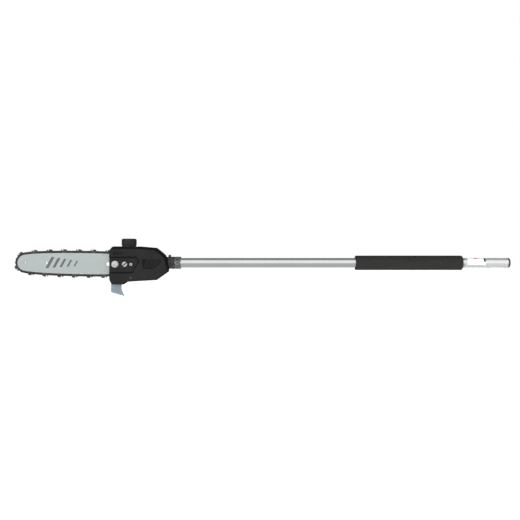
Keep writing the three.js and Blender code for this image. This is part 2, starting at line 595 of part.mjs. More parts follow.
function poleClamp() {
  const [left, right] = CLAMP_SPAN;
  const middle = (left + right) / 2;
  const ring = cut(
    join(
      rodX(NECK_RADIUS, [left, right], 0, 0, 24),
      block([left + 1, right - 2], [-20.5, -12.6], [-6.5, 6.5])),
    rodX(NECK_BORE, [left - 1, right + 1], 0, 0, 24),
    block([left - 1, right + 1], [-24, -8], [-0.8, 0.8]),
    rodZ(2.3, [-8, 8], middle, CLAMP_SCREW_Y, 14), rodZ(3.8, [6.6, 14], middle, CLAMP_SCREW_Y, 16));
  place(head, 'pole_clamp', ring, clampMetal);
  const screw = cut(
    join(rodZ(2.1, [-6.2, 6.8], middle, CLAMP_SCREW_Y, 16), rodZ(3.4, [6.7, 10.4], middle, CLAMP_SCREW_Y, 18)),
    rodZ(1.6, [8.2, 12], middle, CLAMP_SCREW_Y, 6));
  place(head, 'clamp_screw', screw, brightSteel);
}

// ---------------------------------------------------------------- head housing
// Screws that hold the two housing halves together, as [x, z] in the head's frame.
const HOUSING_SCREWS = [[-79, 33.5], [-78, -36], [17.5, 29.5], [29, -28]];
const SCREW_BOSS_RADIUS = 4.4;
const SCREW_HEAD_RADIUS = 3.8;
const KEY_RADIUS = 1.7; // hexagon sockets in the black screws
const BARREL_RELIEF = 14.9; // radius of the room round the gear case's bearing barrel

function headHousing() {
  const inner = inset(HOUSING, WALL);
  const bosses = HOUSING_SCREWS.map(
    ([x, z]) => rodY(SCREW_BOSS_RADIUS, [HOUSING_FRONT_Y + 1, -PARTING_Y], x, z, 12));
  const pilots = HOUSING_SCREWS.map(([x, z]) => rodY(2, [-12, 5], x, z, 10));
  const studBoss = rodY(9.5, [HOUSING_FRONT_Y + 1, -9.8], STUD_AT.x, STUD_AT.z, 20);
  const hookSkirt = prism(HOOK_SKIRT, [HOUSING_FRONT_Y, -PARTING_Y]);
  const shell = cut(
    join(
      cut(
        prism(HOUSING, [HOUSING_FRONT_Y, -PARTING_Y]), prism(inner, [HOUSING_FRONT_Y + WALL, 5])),
      ...bosses, studBoss, hookSkirt),
    ...pilots,
    rodY(SHAFT_RADIUS + 0.1, [-20, 0], STUD_AT.x, STUD_AT.z, 24),
    rodY(12.7, [-20, -12], 0, 0, 24),
    rodX(NECK_RADIUS + GAP, [49.7, 62], 0, 0, 24), rodX(BARREL_RELIEF, [5, 60], 0, 0, 24),
    ...HOOK_SCREWS.map(([x, z]) => rodY(2.2, [-20, -8], x, z, 14)),
    rodY(OIL_PORT.radius, [-20, -10], OIL_PORT.x, OIL_PORT.z, 12));
  place(head, 'head_housing', shell, blackPlastic);
}

const WINDOW = { from: -74, to: -40, z: 18, radius: 4 };

function backCover() {
  const face = inset(HOUSING, 5);
  const outside = join(
    prism(HOUSING, [PARTING_Y, BACK_FACE_Y - 7]), loftY(HOUSING, BACK_FACE_Y - 7, face, BACK_FACE_Y));
  const inside = join(
    prism(inset(HOUSING, WALL), [-1, BACK_FACE_Y - 8]),
    loftY(inset(HOUSING, WALL), BACK_FACE_Y - 8.1, inset(HOUSING, WALL + 4.5), BACK_FACE_Y - WALL));
  const bosses = HOUSING_SCREWS.map(([x, z]) => rodY(SCREW_BOSS_RADIUS, [PARTING_Y, BACK_FACE_Y - 4], x, z, 12));
  const holes = HOUSING_SCREWS.flatMap(([x, z]) => [
    rodY(2.2, [-1, 40], x, z, 10), rodY(SCREW_HEAD_RADIUS + GAP, [BACK_FACE_Y - 9, 40], x, z, 12),
  ]);
  const span = [BACK_FACE_Y - 6, 40];
  const sightSlot = join(
    rodY(WINDOW.radius, span, WINDOW.from, WINDOW.z, 16), rodY(WINDOW.radius, span, WINDOW.to, WINDOW.z, 16),
    block([WINDOW.from, WINDOW.to], span, [WINDOW.z - WINDOW.radius, WINDOW.z + WINDOW.radius]));
  const body = cut(
    join(
      cut(outside, inside),
      ...bosses.map((boss) => boss.intersect(outside))),
    ...holes, sightSlot,
    rodZ(14, [30, 50], CAP_AT.x, CAP_AT.y, 32),
    rodX(NECK_RADIUS + GAP, [49.7, 62], 0, 0, 24), rodX(BARREL_RELIEF, [30, 60], 0, 0, 24));
  place(head, 'back_cover', body, blackPlastic);
}

function housingScrews() {
  HOUSING_SCREWS.forEach(([x, z], i) => {
    const headY = [BACK_FACE_Y - 8.8, BACK_FACE_Y - 5.6];
    const screw = cut(
      join(rodY(SCREW_HEAD_RADIUS, headY, x, z, 12), rodY(1.8, [-9, headY[0] + 0.5], x, z, 8)),
      rodY(KEY_RADIUS, [headY[1] - 1.6, headY[1] + 1], x, z, 6));
    place(head, `housing_screw_${i + 1}`, screw, shaftSteel);
  });
}

// ---------------------------------------------------------------- chain cover
const COVER_SCREW = { x: -36, z: -38.4 };

function chainCover() {
  const outside = join(
    prism(COVER_RIM, [COVER_BEVEL_Y, COVER_RIM_Y]),
    loftY(COVER_FACE, COVER_FACE_Y, COVER_RIM, COVER_BEVEL_Y));
  const floorY = PANEL_FLOOR_Y + WALL;
  const panelBack = prism(PANEL_BACK, [COVER_FACE_Y, floorY]);
  const hollow = join(
    prism(inset(COVER_RIM, WALL), [COVER_BEVEL_Y, COVER_RIM_Y + 1]),
    loftY(inset(COVER_FACE, WALL), COVER_FACE_Y + WALL, inset(COVER_RIM, WALL), COVER_BEVEL_Y),
    block([-97, -84], [COVER_BEVEL_Y, COVER_RIM_Y + 1], [-40.5, 37]));
  const [tensionX, tensionZ] = fromBar(TENSION_X, 0);
  const [bracketX, bracketZ] = fromBar(PIN_X + 0.6, 0);
  const studBoss = rodY(8.5, [floorY - 1, -24.6], STUD_AT.x, STUD_AT.z, 20);
  const screwBoss = rodY(5.5, [COVER_FACE_Y + 1, -16.2], COVER_SCREW.x, COVER_SCREW.z - 1, 20);
  const badgeRecess = loftY(inset(BADGE, -1), COVER_FACE_Y - 0.5, inset(BADGE, 0.6), COVER_FACE_Y + 1.2);
  const marks = [0, 1, 2].map((i) => {
    const x = -80 + i * 9;
    return prism([[x, 21], [x + 5, 21], [x + 8, 24], [x + 5, 27], [x, 27], [x + 3, 24]],
      [COVER_FACE_Y - 1, COVER_FACE_Y + 0.5]);
  });
  const body = cut(
    join(
      cut(outside, cut(hollow, panelBack)), studBoss,
      screwBoss.intersect(outside)),
    prism(PANEL, [COVER_FACE_Y - 2, PANEL_FLOOR_Y]), badgeRecess, ...marks,
    rodY(SHAFT_RADIUS + 0.6, [-50, -20], STUD_AT.x, STUD_AT.z, 24),
    rodY(7.3, [-50, -30], tensionX, tensionZ, 28),
    rodY(6, [PANEL_FLOOR_Y - 2, PANEL_FLOOR_Y + 0.9], bracketX, bracketZ, 20),
    rodY(2, [-50, -30], bracketX, bracketZ, 14),
    rodY(4.3, [-50, COVER_FACE_Y + 4], COVER_SCREW.x, COVER_SCREW.z, 20),
    rodY(2.2, [-50, -10], COVER_SCREW.x, COVER_SCREW.z, 14),
    block([-94, -52.5], [-22.6, -14], [-60, -43.2]), rodX(NECK_RADIUS + 0.5, [48, 80], 0, 0, 24));
  place(head, 'chain_cover', body, blackPlastic);
  const screw = cut(
    join(
      rodY(3.9, [-42.8, -40.3], COVER_SCREW.x, COVER_SCREW.z, 12),
      rodY(1.9, [-40.5, -16.5], COVER_SCREW.x, COVER_SCREW.z, 8)),
    rodY(KEY_RADIUS, [-44, -41.4], COVER_SCREW.x, COVER_SCREW.z, 6));
  place(head, 'chain_cover_screw', screw, shaftSteel);
}

// ---------------------------------------------------------------- bar stud, nut and chain tensioner
function barClamping() {
  const stud = join(
    rodY(SHAFT_RADIUS, [-47.6, -9], STUD_AT.x, STUD_AT.z, 24), rodY(7.4, [-9.6, -5.2], STUD_AT.x, STUD_AT.z, 6));
  place(head, 'bar_stud', stud, brightSteel);
  const seat = PANEL_FLOOR_Y - 0.2;
  place(head, 'bar_nut_washer', ringY(9.3, 4.4, [seat - 1.3, seat], STUD_AT.x, STUD_AT.z, 20), brightSteel);
  const nutTop = seat - 1.5;
  const nut = cut(
    join(
      rodY(9, [nutTop - 1.8, nutTop], STUD_AT.x, STUD_AT.z, 20),
      rodY(7.5, [nutTop - 7.2, nutTop - 1.5], STUD_AT.x, STUD_AT.z, 6)),
    rodY(SHAFT_RADIUS + 0.08, [-60, -30], STUD_AT.x, STUD_AT.z, 24));
  place(head, 'bar_nut', nut, brightSteel);
  const pad = cut(
    prism([[-85, -15], [-42, -15], [-26, -9], [-26, 7], [-42, 12], [-85, 12]], [-19.8, HOUSING_FRONT_Y - 0.1]),
    rodY(4.4, [-25, -10], STUD_AT.x, STUD_AT.z, 20), rodY(OIL_PORT.radius, [-25, -10], OIL_PORT.x, OIL_PORT.z, 12));
  place(head, 'bar_pad', pad, castMetal);
}

function tensioner() {
  const pair = { teeth: 10, otherTeeth: 10, module: 0.8, face: 2.4 };
  const at = (solid) => solid.translate([TENSION_X, TENSION_Y, 0]);
  const gearBack = TENSION_Y - 4.7;
  const screwGear = bevelGear({ ...pair, gapFirst: true }).rotate([0, 0, -90]);
  const screw = cut(
    join(
      at(screwGear), rodY(2.9, [-38.5, gearBack + 1.2], TENSION_X, 0, 14), rodY(7, [-41, -37.4], TENSION_X, 0, 20)),
    block([-0.9, 0.9], [-43, -39.3], [-6, 6]).rotate([0, -40, 0]).translate([TENSION_X, 0, 0]));
  place(barFrame, 'tension_screw', screw, brightSteel);
  const spindle = join(
    at(bevelGear(pair)), rodX(2.4, [TENSION_X + 3.6, TENSION_X + 29], TENSION_Y, 0, 12));
  place(barFrame, 'tension_spindle', spindle, shaftSteel);
  const bracket = cut(
    join(
      block([TENSION_X - 6, TENSION_X + 28.4], [-35.9, -34.8], [-6, 6]),
      block([TENSION_X + 6.2, TENSION_X + 7.8], [-35, -26.2], [-5, 5]),
      block([TENSION_X + 26.8, TENSION_X + 28.4], [-35, -26.2], [-5, 5])),
    rodY(3.1, [-38, -30], TENSION_X, 0, 14), rodX(2.6, [TENSION_X, TENSION_X + 40], TENSION_Y, 0, 12),
    rodY(1.9, [-38, -30], PIN_X + 0.6, 0, 12));
  place(barFrame, 'tension_bracket', bracket, brightSteel);
  const slider = cut(
    join(block([PIN_X - 4.4, PIN_X + 4.4], [-33.6, -24.6], [-4.6, 4.6]), rodY(2.8, [-25, -20.2], PIN_X, 0, 16)),
    rodX(2.6, [PIN_X - 10, PIN_X + 10], TENSION_Y, 0, 12));
  place(barFrame, 'tension_slider', slider, shaftSteel);
  const fixing = cut(
    join(rodY(4.1, [-40.2, -37.8], PIN_X + 0.6, 0, 20), rodY(1.7, [-38, -34.4], PIN_X + 0.6, 0, 12)),
    rodY(1.5, [-41, -39.2], PIN_X + 0.6, 0, 6));
  place(barFrame, 'tension_bracket_screw', fixing, brightSteel);
}

// ---------------------------------------------------------------- branch hook
const HOOK_SCREWS = [[-79.5, -49], [-62.5, -49]];

function branchHook() {
  const shape = new THREE.Shape();
  shape.moveTo(-84.5, -43.6);
  shape.lineTo(-91, -56.5);
  shape.lineTo(-91, -73.2);
  shape.quadraticCurveTo(-91, -76, -88.2, -76.8);
  shape.lineTo(-57.2, -85.7);
  shape.quadraticCurveTo(-55.8, -85.8, -56.8, -83.7);
  shape.quadraticCurveTo(-64.3, -71.5, -64.4, -64);
  shape.lineTo(-63.8, -57);
  shape.lineTo(-57.5, -52);
  shape.lineTo(-57.5, -43.6);
  const plate = cut(
    prism(shape, [-18.9, HOUSING_FRONT_Y - 0.2], 5), ...HOOK_SCREWS.map(([x, z]) => rodY(2.6, [-25, -10], x, z, 14)));
  place(head, 'branch_hook', plate, hookSteel);
  HOOK_SCREWS.forEach(([x, z], i) => {
    const screw = cut(
      join(rodY(4.2, [-21.9, -19.2], x, z, 12), rodY(2, [-19.5, -9.5], x, z, 8)),
      rodY(KEY_RADIUS, [-23, -20.8], x, z, 6));
    place(head, `hook_screw_${i + 1}`, screw, brightSteel);
  });
}

// ---------------------------------------------------------------- oil tank and cap
const OIL_PORT = { x: -58, z: 5.5, radius: 1.7 };

function oilSystem() {
  const walls = 1.6;
  const [x, y, z] = [[-73, -26.5], [3, 28], [5, 35.4]];
  const grown = (span, by) => [span[0] + by, span[1] - by];
  const tank = cut(
    join(
      block(x, y, z), rodZ(12.4, [35, 54], CAP_AT.x, CAP_AT.y), rodZ(13.2, [45.4, 47.2], CAP_AT.x, CAP_AT.y)),
    block(grown(x, walls), grown(y, walls), grown(z, walls)), rodZ(10.6, [30, 60], CAP_AT.x, CAP_AT.y),
    rodX(2.3, [-30, -20], OIL_PIPE.y, OIL_PIPE.z, 12));
  place(head, 'oil_tank', tank, tankPlastic);
  const knob = cut(
    join(
      rodZ(CAP_RADII.foot, [45.2, 61.6], CAP_AT.x, CAP_AT.y, 28, CAP_RADII.shoulder),
      rodZ(CAP_RADII.shoulder, [61.5, 63.2], CAP_AT.x, CAP_AT.y, 28, CAP_RADII.top),
      rodZ(CAP_RADII.skirt, [43.2, 45.4], CAP_AT.x, CAP_AT.y, 28)),
    rodZ(14, [40, 57.2], CAP_AT.x, CAP_AT.y));
  place(head, 'oil_cap', knob, capPlastic);
  place(head, 'oil_cap_seal', ringZ(13, 10.2, [54.3, 56.9], CAP_AT.x, CAP_AT.y), sealRubber);
}

guideBar();
chain();
driveLine();
oilPump();
gearCase();
poleTube();
shaftBushings();
couplerEnd();
poleClamp();
headHousing();
backCover();
housingScrews();
chainCover();
barClamping();
tensioner();
branchHook();
oilSystem();

export default poleSaw;
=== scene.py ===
import math

import bmesh
import bpy
from mathutils import Matrix, Vector


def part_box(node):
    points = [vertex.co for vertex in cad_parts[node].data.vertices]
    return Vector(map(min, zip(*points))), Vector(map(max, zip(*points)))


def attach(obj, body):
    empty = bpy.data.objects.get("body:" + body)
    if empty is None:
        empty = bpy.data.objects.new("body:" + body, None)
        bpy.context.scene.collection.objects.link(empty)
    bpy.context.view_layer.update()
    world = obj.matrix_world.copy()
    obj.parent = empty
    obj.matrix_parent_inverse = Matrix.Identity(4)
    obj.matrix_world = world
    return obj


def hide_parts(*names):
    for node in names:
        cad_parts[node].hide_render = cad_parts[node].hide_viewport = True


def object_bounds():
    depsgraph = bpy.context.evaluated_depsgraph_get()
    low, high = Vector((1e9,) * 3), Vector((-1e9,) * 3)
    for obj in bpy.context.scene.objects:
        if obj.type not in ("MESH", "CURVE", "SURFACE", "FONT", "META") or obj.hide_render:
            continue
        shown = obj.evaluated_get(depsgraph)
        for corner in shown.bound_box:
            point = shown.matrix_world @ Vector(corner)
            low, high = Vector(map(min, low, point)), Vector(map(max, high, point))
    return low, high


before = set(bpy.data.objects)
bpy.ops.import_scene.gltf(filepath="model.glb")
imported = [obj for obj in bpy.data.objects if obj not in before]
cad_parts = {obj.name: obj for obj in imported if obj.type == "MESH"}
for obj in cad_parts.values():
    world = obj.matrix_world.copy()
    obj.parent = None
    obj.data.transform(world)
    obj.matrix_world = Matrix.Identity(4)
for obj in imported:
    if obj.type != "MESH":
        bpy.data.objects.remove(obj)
cad_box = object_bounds()

# ================================================================ the studio
# A pale floor, a broad soft light overhead and in front, and a dim card behind, so that
# the bright pole has an edge. The camera stands level with the pole, in front of it.
CAMERA_PLACE = (-0.6499, -1.566, 0.0073)
LENS = 41.5
FLOOR_DROP = 0.17  # below the lowest point of the saw

camera_data = bpy.data.cameras.new("camera")
camera_data.lens = LENS
camera_data.clip_end = 60
camera = bpy.data.objects.new("camera", camera_data)
camera.location = CAMERA_PLACE
camera.rotation_euler = (math.pi / 2, 0, 0)
bpy.context.scene.collection.objects.link(camera)
bpy.context.scene.camera = camera
bpy.context.scene.view_settings.view_transform = "Standard"


class Field:
    """A value that changes over a surface: the output of a shader node, with arithmetic on it."""

    def __init__(self, tree, socket):
        self.tree = tree
        self.socket = socket

    def node(self, kind, settings=None, output=0, **inputs):
        """Adds a node. Input names are written with _ for a space, or as s0, s1 by their order."""
        made = self.tree.nodes.new(kind)
        for name, value in (settings or {}).items():
            if name == "stops":
                ramp = made.color_ramp
                while len(ramp.elements) < len(value):
                    ramp.elements.new(1)
                for element, (place, colour) in zip(ramp.elements, value):
                    element.position = place
                    element.color = (*colour, 1) if len(colour) == 3 else colour
            else:
                setattr(made, name, value)
        for name, value in inputs.items():
            is_order = name[0] == "s" and name[1:].isdigit()
            socket = made.inputs[int(name[1:])] if is_order else made.inputs[name.replace("_", " ")]
            if isinstance(value, Field):
                self.tree.links.new(value.socket, socket)
            else:
                socket.default_value = value
        return Field(self.tree, made.outputs[output])

    def math(self, operation, first, second=0.0, third=0.0):
        settings = {"operation": operation}
        return self.node("ShaderNodeMath", settings, s0=first, s1=second, s2=third)

    def __add__(self, other):
        return self.math("ADD", self, other)

    __radd__ = __add__

    def __sub__(self, other):
        return self.math("SUBTRACT", self, other)

    def __rsub__(self, other):
        return self.math("SUBTRACT", other, self)

    def __mul__(self, other):
        return self.math("MULTIPLY", self, other)

    __rmul__ = __mul__

    def __truediv__(self, other):
        return self.math("DIVIDE", self, other)

    def __lt__(self, other):
        return self.math("LESS_THAN", self, other)

    def __gt__(self, other):
        return self.math("GREATER_THAN", self, other)

    def mix(self, low, high):
        """A colour that goes from low to high as this value goes from 0 to 1."""
        settings = {"data_type": "RGBA"}
        return self.node("ShaderNodeMix", settings, output=2, s0=self, s6=low, s7=high)

    def noise(self, place, scale, detail=3.0, roughness=0.5):
        """Soft noise from 0 to 1; the scale is in cells to the metre."""
        return self.node(
            "ShaderNodeTexNoise", Vector=place, Scale=scale, Detail=detail, Roughness=roughness
        )

    def stretched(self, place, factors):
        settings = {"operation": "MULTIPLY"}
        return self.node("ShaderNodeVectorMath", settings, s0=place, s1=factors)

    def part(self, place, axis):
        """One coordinate, x, y or z, of a place."""
        return self.node("ShaderNodeSeparateXYZ", output="xyz".index(axis), s0=place)

    def bump(self, height, depth, strength=1.0):
        """A normal bent by a height from 0 to 1, where 1 is this many metres."""
        return self.node("ShaderNodeBump", Height=height, Distance=depth, Strength=strength)


world = bpy.data.worlds.new("studio")
bpy.context.scene.world = world
world.use_nodes = True
world.node_tree.nodes.clear()
sky = Field(world.node_tree, None)
toward = sky.node("ShaderNodeTexCoord", output=0)
up = sky.part(toward, "z")
forward = sky.part(toward, "y")
# In front it is bright up to sixty degrees; overhead and behind it is dim; underneath it is middling.
FRONT_BRIGHT = 0.95
OVERHEAD_DIM = 0.2
over_front = sky.node("ShaderNodeValToRGB", {"stops": [
    (0.0, (FRONT_BRIGHT,) * 3), (0.22, (FRONT_BRIGHT,) * 3), (0.36, (OVERHEAD_DIM,) * 3),
    (1.0, (OVERHEAD_DIM,) * 3),
]}, Fac=forward * 0.5 + 0.5)
below = (0.46, 0.475, 0.475, 1)
lit = sky.node(
    "ShaderNodeMath", {"operation": "MULTIPLY_ADD", "use_clamp": True}, s0=up, s1=10.0, s2=2.0
).mix(below, over_front)
seen = sky.node("ShaderNodeLightPath", output=0)
glow = sky.node("ShaderNodeBackground", Color=seen.mix(lit, (1, 1, 1, 1)), Strength=1.0)
world_out = world.node_tree.nodes.new("ShaderNodeOutputWorld")
world.node_tree.links.new(glow.socket, world_out.inputs["Surface"])

for name, place, size, watts in [
    ("key_light", (-1.3, -1.6, 1.9), 1.6, 26),
    ("fill_light", (0.3, -2.2, 0.7), 1.8, 12),
    ("back_light", (-0.6, 1.8, 1.8), 1.8, 20),
]:
    lamp_data = bpy.data.lights.new(name, "AREA")
    lamp_data.size = size
    lamp_data.energy = watts
    lamp = bpy.data.objects.new(name, lamp_data)
    lamp.location = place
    aim = Vector((-0.65, 0, 0)) - lamp.location
    lamp.rotation_euler = aim.to_track_quat("-Z", "Y").to_euler()
    lamp.visible_glossy = False
    bpy.context.scene.collection.objects.link(lamp)

floor_mesh = bmesh.new()
bmesh.ops.create_circle(floor_mesh, cap_ends=True, segments=64, radius=20)
floor_data = bpy.data.meshes.new("floor")
floor_mesh.to_mesh(floor_data)
floor_mesh.free()
floor = bpy.data.objects.new("floor", floor_data)
floor.location.z = cad_box[0].z - FLOOR_DROP
floor.visible_glossy = False
bpy.context.scene.collection.objects.link(floor)
paper = bpy.data.materials.new("floor_paper")
paper.use_nodes = True
paper.node_tree.nodes["Principled BSDF"].inputs["Base Color"].default_value = (0.97, 0.97, 0.97, 1)
paper.node_tree.nodes["Principled BSDF"].inputs["Roughness"].default_value = 0.9
paper.node_tree.nodes["Principled BSDF"].inputs["Emission Color"].default_value = (1, 1, 1, 1)
paper.node_tree.nodes["Principled BSDF"].inputs["Emission Strength"].default_value = 0.8
floor_data.materials.append(paper)

# ================================================================ the pole
# A drawn and polished aluminium tube, 25 mm across, with a hole near its end for the
# coupler's locking pin. The die leaves fine lines along it.
MM = 0.001
POLE_PLACE = Matrix.Scale(MM, 4)
POLE_RADIUS = 12.5
POLE_WALL = 1.5
LOCK_HOLE = (-22.7, 4.5)  # place along the pole, and radius
pole_low, pole_high = (corner.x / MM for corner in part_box("pole_tube"))


def surface(name, metallic, roughness, colour, **constants):
    """A new material: returns it, a Field to build its nodes with, and places on the object in metres."""
    made = bpy.data.materials.new(name)
    made.use_nodes = True
    shader = made.node_tree.nodes["Principled BSDF"]
    shader.inputs["Base Color"].default_value = (*colour, 1)
    shader.inputs["Metallic"].default_value = metallic
    shader.inputs["Roughness"].default_value = roughness
    for socket, value in constants.items():
        shader.inputs[socket.replace("_", " ")].default_value = value
    made.diffuse_color = (*colour, 1)
    field = Field(made.node_tree, None)
    return made, field, field.node("ShaderNodeTexCoord", output=3)


def coat(made, **fields):
    """Links fields to the shader's sockets."""
    shader = made.node_tree.nodes["Principled BSDF"]
    for socket, field in fields.items():
        made.node_tree.links.new(field.socket, shader.inputs[socket.replace("_", " ")])
    return made


def settle(shape, name, material, place, body, stands_for=(), sharp=35.0):
    """Makes a shape in millimetres a piece of the saw, in its place, and rides it on a body."""
    bmesh.ops.remove_doubles(shape, verts=shape.verts, dist=1e-4)
    bmesh.ops.recalc_face_normals(shape, faces=shape.faces)
    shape.transform(place)
    data = bpy.data.meshes.new(name)
    shape.to_mesh(data)
    shape.free()
    data.shade_smooth()
    data.set_sharp_from_angle(angle=math.radians(sharp))
    data.materials.append(material)
    piece = bpy.data.objects.new(name, data)
    bpy.context.scene.collection.objects.link(piece)
    even = piece.modifiers.new("even_shading", "WEIGHTED_NORMAL")
    even.keep_sharp = True
    even.weight = 100
    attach(piece, body)
    if stands_for:
        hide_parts(*stands_for)
    return piece


def turn(shape, profile, axis="x", centre=(0, 0, 0), steps=64):
    """Turns a closed profile of (along, radius) points about an axis, as on a lathe."""
    along = Vector([float(letter == axis) for letter in "xyz"])
    out = Vector((0, 0, 1)) if axis != "z" else Vector((1, 0, 0))
    start = [shape.verts.new(Vector(centre) + along * s + out * r) for s, r in profile]
    rim = [shape.edges.new((a, b)) for a, b in zip(start, start[1:] + start[:1])]
    bmesh.ops.spin(
        shape, geom=start + rim, cent=centre, axis=along, angle=2 * math.pi, steps=steps,
        use_merge=True, use_duplicate=False,
    )
    bmesh.ops.remove_doubles(shape, verts=shape.verts, dist=1e-4)
    wires = [edge for edge in shape.edges if not edge.link_faces]
    bmesh.ops.delete(shape, geom=wires, context="EDGES")


def rod(shape, radius, span, axis="x", centre=(0, 0, 0), steps=48, edge=0.0):
    """A solid round rod between two places on its axis, with chamfered ends where an edge is given."""
    low, high = span
    profile = [(low, 0), (low, radius - edge)]
    profile += [(low + edge, radius), (high - edge, radius)] if edge else []
    profile += [(high, radius - edge), (high, 0)]
    turn(shape, profile, axis, centre, steps)


def carved(shape, *tools, operation="DIFFERENCE"):
    """The shape with each of the tools' shapes cut out of it. The tools are used up."""
    def loose(part):
        bmesh.ops.remove_doubles(part, verts=part.verts, dist=1e-4)
        bmesh.ops.recalc_face_normals(part, faces=part.faces)
        data = bpy.data.meshes.new("carving")
        part.to_mesh(data)
        part.free()
        made = bpy.data.objects.new("carving", data)
        bpy.context.scene.collection.objects.link(made)
        return made

    block = loose(shape)
    cutters = [loose(tool) for tool in tools]
    for cutter in cutters:
        bite = block.modifiers.new("bite", "BOOLEAN")
        bite.object = cutter
        bite.operation = operation
        bite.solver = "EXACT"
    bpy.context.view_layer.update()
    done = bmesh.new()
    done.from_mesh(block.evaluated_get(bpy.context.evaluated_depsgraph_get()).data)
    for used in [block, *cutters]:
        data = used.data
        bpy.data.objects.remove(used)
        bpy.data.meshes.remove(data)
    return done


def round_edges(shape, width, segments=3, angle=25.0):
    """Rounds every edge that turns by more than an angle."""
    bmesh.ops.remove_doubles(shape, verts=shape.verts, dist=1e-4)
    bmesh.ops.dissolve_limit(shape, angle_limit=math.radians(0.5), verts=shape.verts, edges=shape.edges)
    sharp = [
        edge for edge in shape.edges
        if len(edge.link_faces) == 2 and edge.calc_face_angle(0) > math.radians(angle)
    ]
    bmesh.ops.bevel(
        shape, geom=sharp, offset=width, segments=segments, profile=0.5, affect="EDGES",
        material=-1, clamp_overlap=True,
    )


MATT_FROM = -118.0  # the end that goes into the coupler is blasted matt
aluminium, field, place = surface("drawn_aluminium", 1.0, 0.24, (0.86, 0.87, 0.87))
matt = field.part(place, "x") > MATT_FROM * MM
draw_lines = field.noise(field.stretched(place, (0.6, 300, 300)), 3.0, 4)
cloud = field.noise(place, 14, 2)
coat(
    aluminium,
    Base_Color=cloud.mix((0.8, 0.81, 0.81, 1), (0.9, 0.91, 0.91, 1)),
    Metallic=1 - matt * 0.22,
    Roughness=0.2 + draw_lines * 0.12 + matt * 0.1,
    Normal=field.bump(draw_lines, 0.00003),
)

tube = bmesh.new()
turn(tube, [
    (pole_low, POLE_RADIUS - POLE_WALL), (pole_low, POLE_RADIUS - 0.2), (pole_low + 0.2, POLE_RADIUS),
    (pole_high - 0.2, POLE_RADIUS), (pole_high, POLE_RADIUS - 0.2), (pole_high, POLE_RADIUS - POLE_WALL),
], steps=96)
lock_hole = bmesh.new()
rod(lock_hole, LOCK_HOLE[1], (0, 20), "z", (LOCK_HOLE[0], 0, 0))
tube = carved(tube, lock_hole)
settle(tube, "pole", aluminium, POLE_PLACE, "head_and_pole", ["pole_tube"])

# ================================================================ the foam grip
# A sleeve of closed-cell foam rubber, pushed on with soapy water. The extruded skin is
# smooth along its length, with open cells at the cut ends.
grip_low, grip_high = (corner.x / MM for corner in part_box("grip_sleeve"))
GRIP_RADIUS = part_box("grip_sleeve")[1].z / MM
GRIP_EDGE = 1.8

foam, field, place = surface("foam_rubber", 0.0, 0.72, (0.026, 0.025, 0.024), Specular_IOR_Level=0.2)
cells = field.node("ShaderNodeTexVoronoi", Vector=place, Scale=900.0)
grain = field.noise(field.stretched(place, (1, 1, 1)), 420, 4, 0.65)
streaks = field.noise(field.stretched(place, (12, 260, 260)), 1.0, 3)
coat(
    foam,
    Base_Color=(grain * 0.6 + streaks * 0.4).mix((0.01, 0.0099, 0.0093, 1), (0.033, 0.0322, 0.031, 1)),
    Roughness=0.62 + grain * 0.2,
    Normal=field.bump(cells * 0.5 + grain * 0.4 + streaks * 0.5, 0.00035, 0.8),
)

grip = bmesh.new()
corner = [
    (GRIP_EDGE * (1 - math.sin(a)), GRIP_RADIUS - GRIP_EDGE * (1 - math.cos(a)))
    for a in (step * math.pi / 8 for step in range(5))
]
left_end = [(grip_low + s, r) for s, r in reversed(corner)]
right_end = [(grip_high - s, r) for s, r in corner]
bore = POLE_RADIUS + 0.05
turn(grip, [(grip_low, bore), *left_end, *right_end, (grip_high, bore)], steps=72)
settle(grip, "foam_grip", foam, POLE_PLACE, "head_and_pole", ["grip_sleeve"])

# ================================================================ the insertion label
# White printed film round the front and top of the pole, beside the grip: a red arrow
# and a black dash show how far the pole goes into the coupler.
label_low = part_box("insertion_label")[0].x / MM
label_high = -64.2
LABEL_THICKNESS = 0.12
LABEL_ARC = (-115.0, 22.0)  # degrees from the top, negative towards the viewer's side
RED_MARK = (-94.0, -73.5)  # along the pole
DASH = (-69.0, -64.0)
DASH_HEIGHT = (0.0026, 0.0115)

film, field, place = surface("printed_film", 0.0, 0.4, (0.88, 0.88, 0.87))
x, y, z = (field.part(place, letter) for letter in "xyz")
arrow_middle = y + 0.004
reach = (x / MM - RED_MARK[0]) / (RED_MARK[1] - RED_MARK[0])
half_width = field.math("MULTIPLY", 1 - reach, 0.0042)
red = (field.math("ABSOLUTE", arrow_middle) < half_width) * (reach > 0.0) * (reach < 1.0) * (z > 0.008)
black = (x > DASH[0] * MM) * (x < DASH[1] * MM) * (z > DASH_HEIGHT[0]) * (z < DASH_HEIGHT[1]) * (y < 0.0)
wear = field.noise(place, 300, 4)
printed = red.mix(wear.mix((0.82, 0.82, 0.81, 1), (0.93, 0.93, 0.92, 1)), (0.68, 0.04, 0.03, 1))
coat(
    film,
    Base_Color=black.mix(printed, (0.012, 0.012, 0.012, 1)),
    Roughness=0.35 + wear * 0.15,
    Normal=field.bump(wear, 0.00002),
)

label = bmesh.new()
inner = POLE_RADIUS + 0.02
outer = inner + LABEL_THICKNESS
strip = [
    label.verts.new((s, 0, r))
    for s, r in [(label_low, inner), (label_high, inner), (label_high, outer), (label_low, outer)]
]
strip_face = label.faces.new(strip)
arc = math.radians(LABEL_ARC[1] - LABEL_ARC[0])
bmesh.ops.rotate(
    label, verts=label.verts, cent=(0, 0, 0),
    matrix=Matrix.Rotation(math.radians(-LABEL_ARC[0]), 3, "X"),
)
bmesh.ops.spin(
    label, geom=[strip_face, *strip, *label.edges], cent=(0, 0, 0), axis=(1, 0, 0), angle=-arc,
    steps=40, use_duplicate=False,
)
settle(label, "label", film, POLE_PLACE, "head_and_pole", ["insertion_label"])

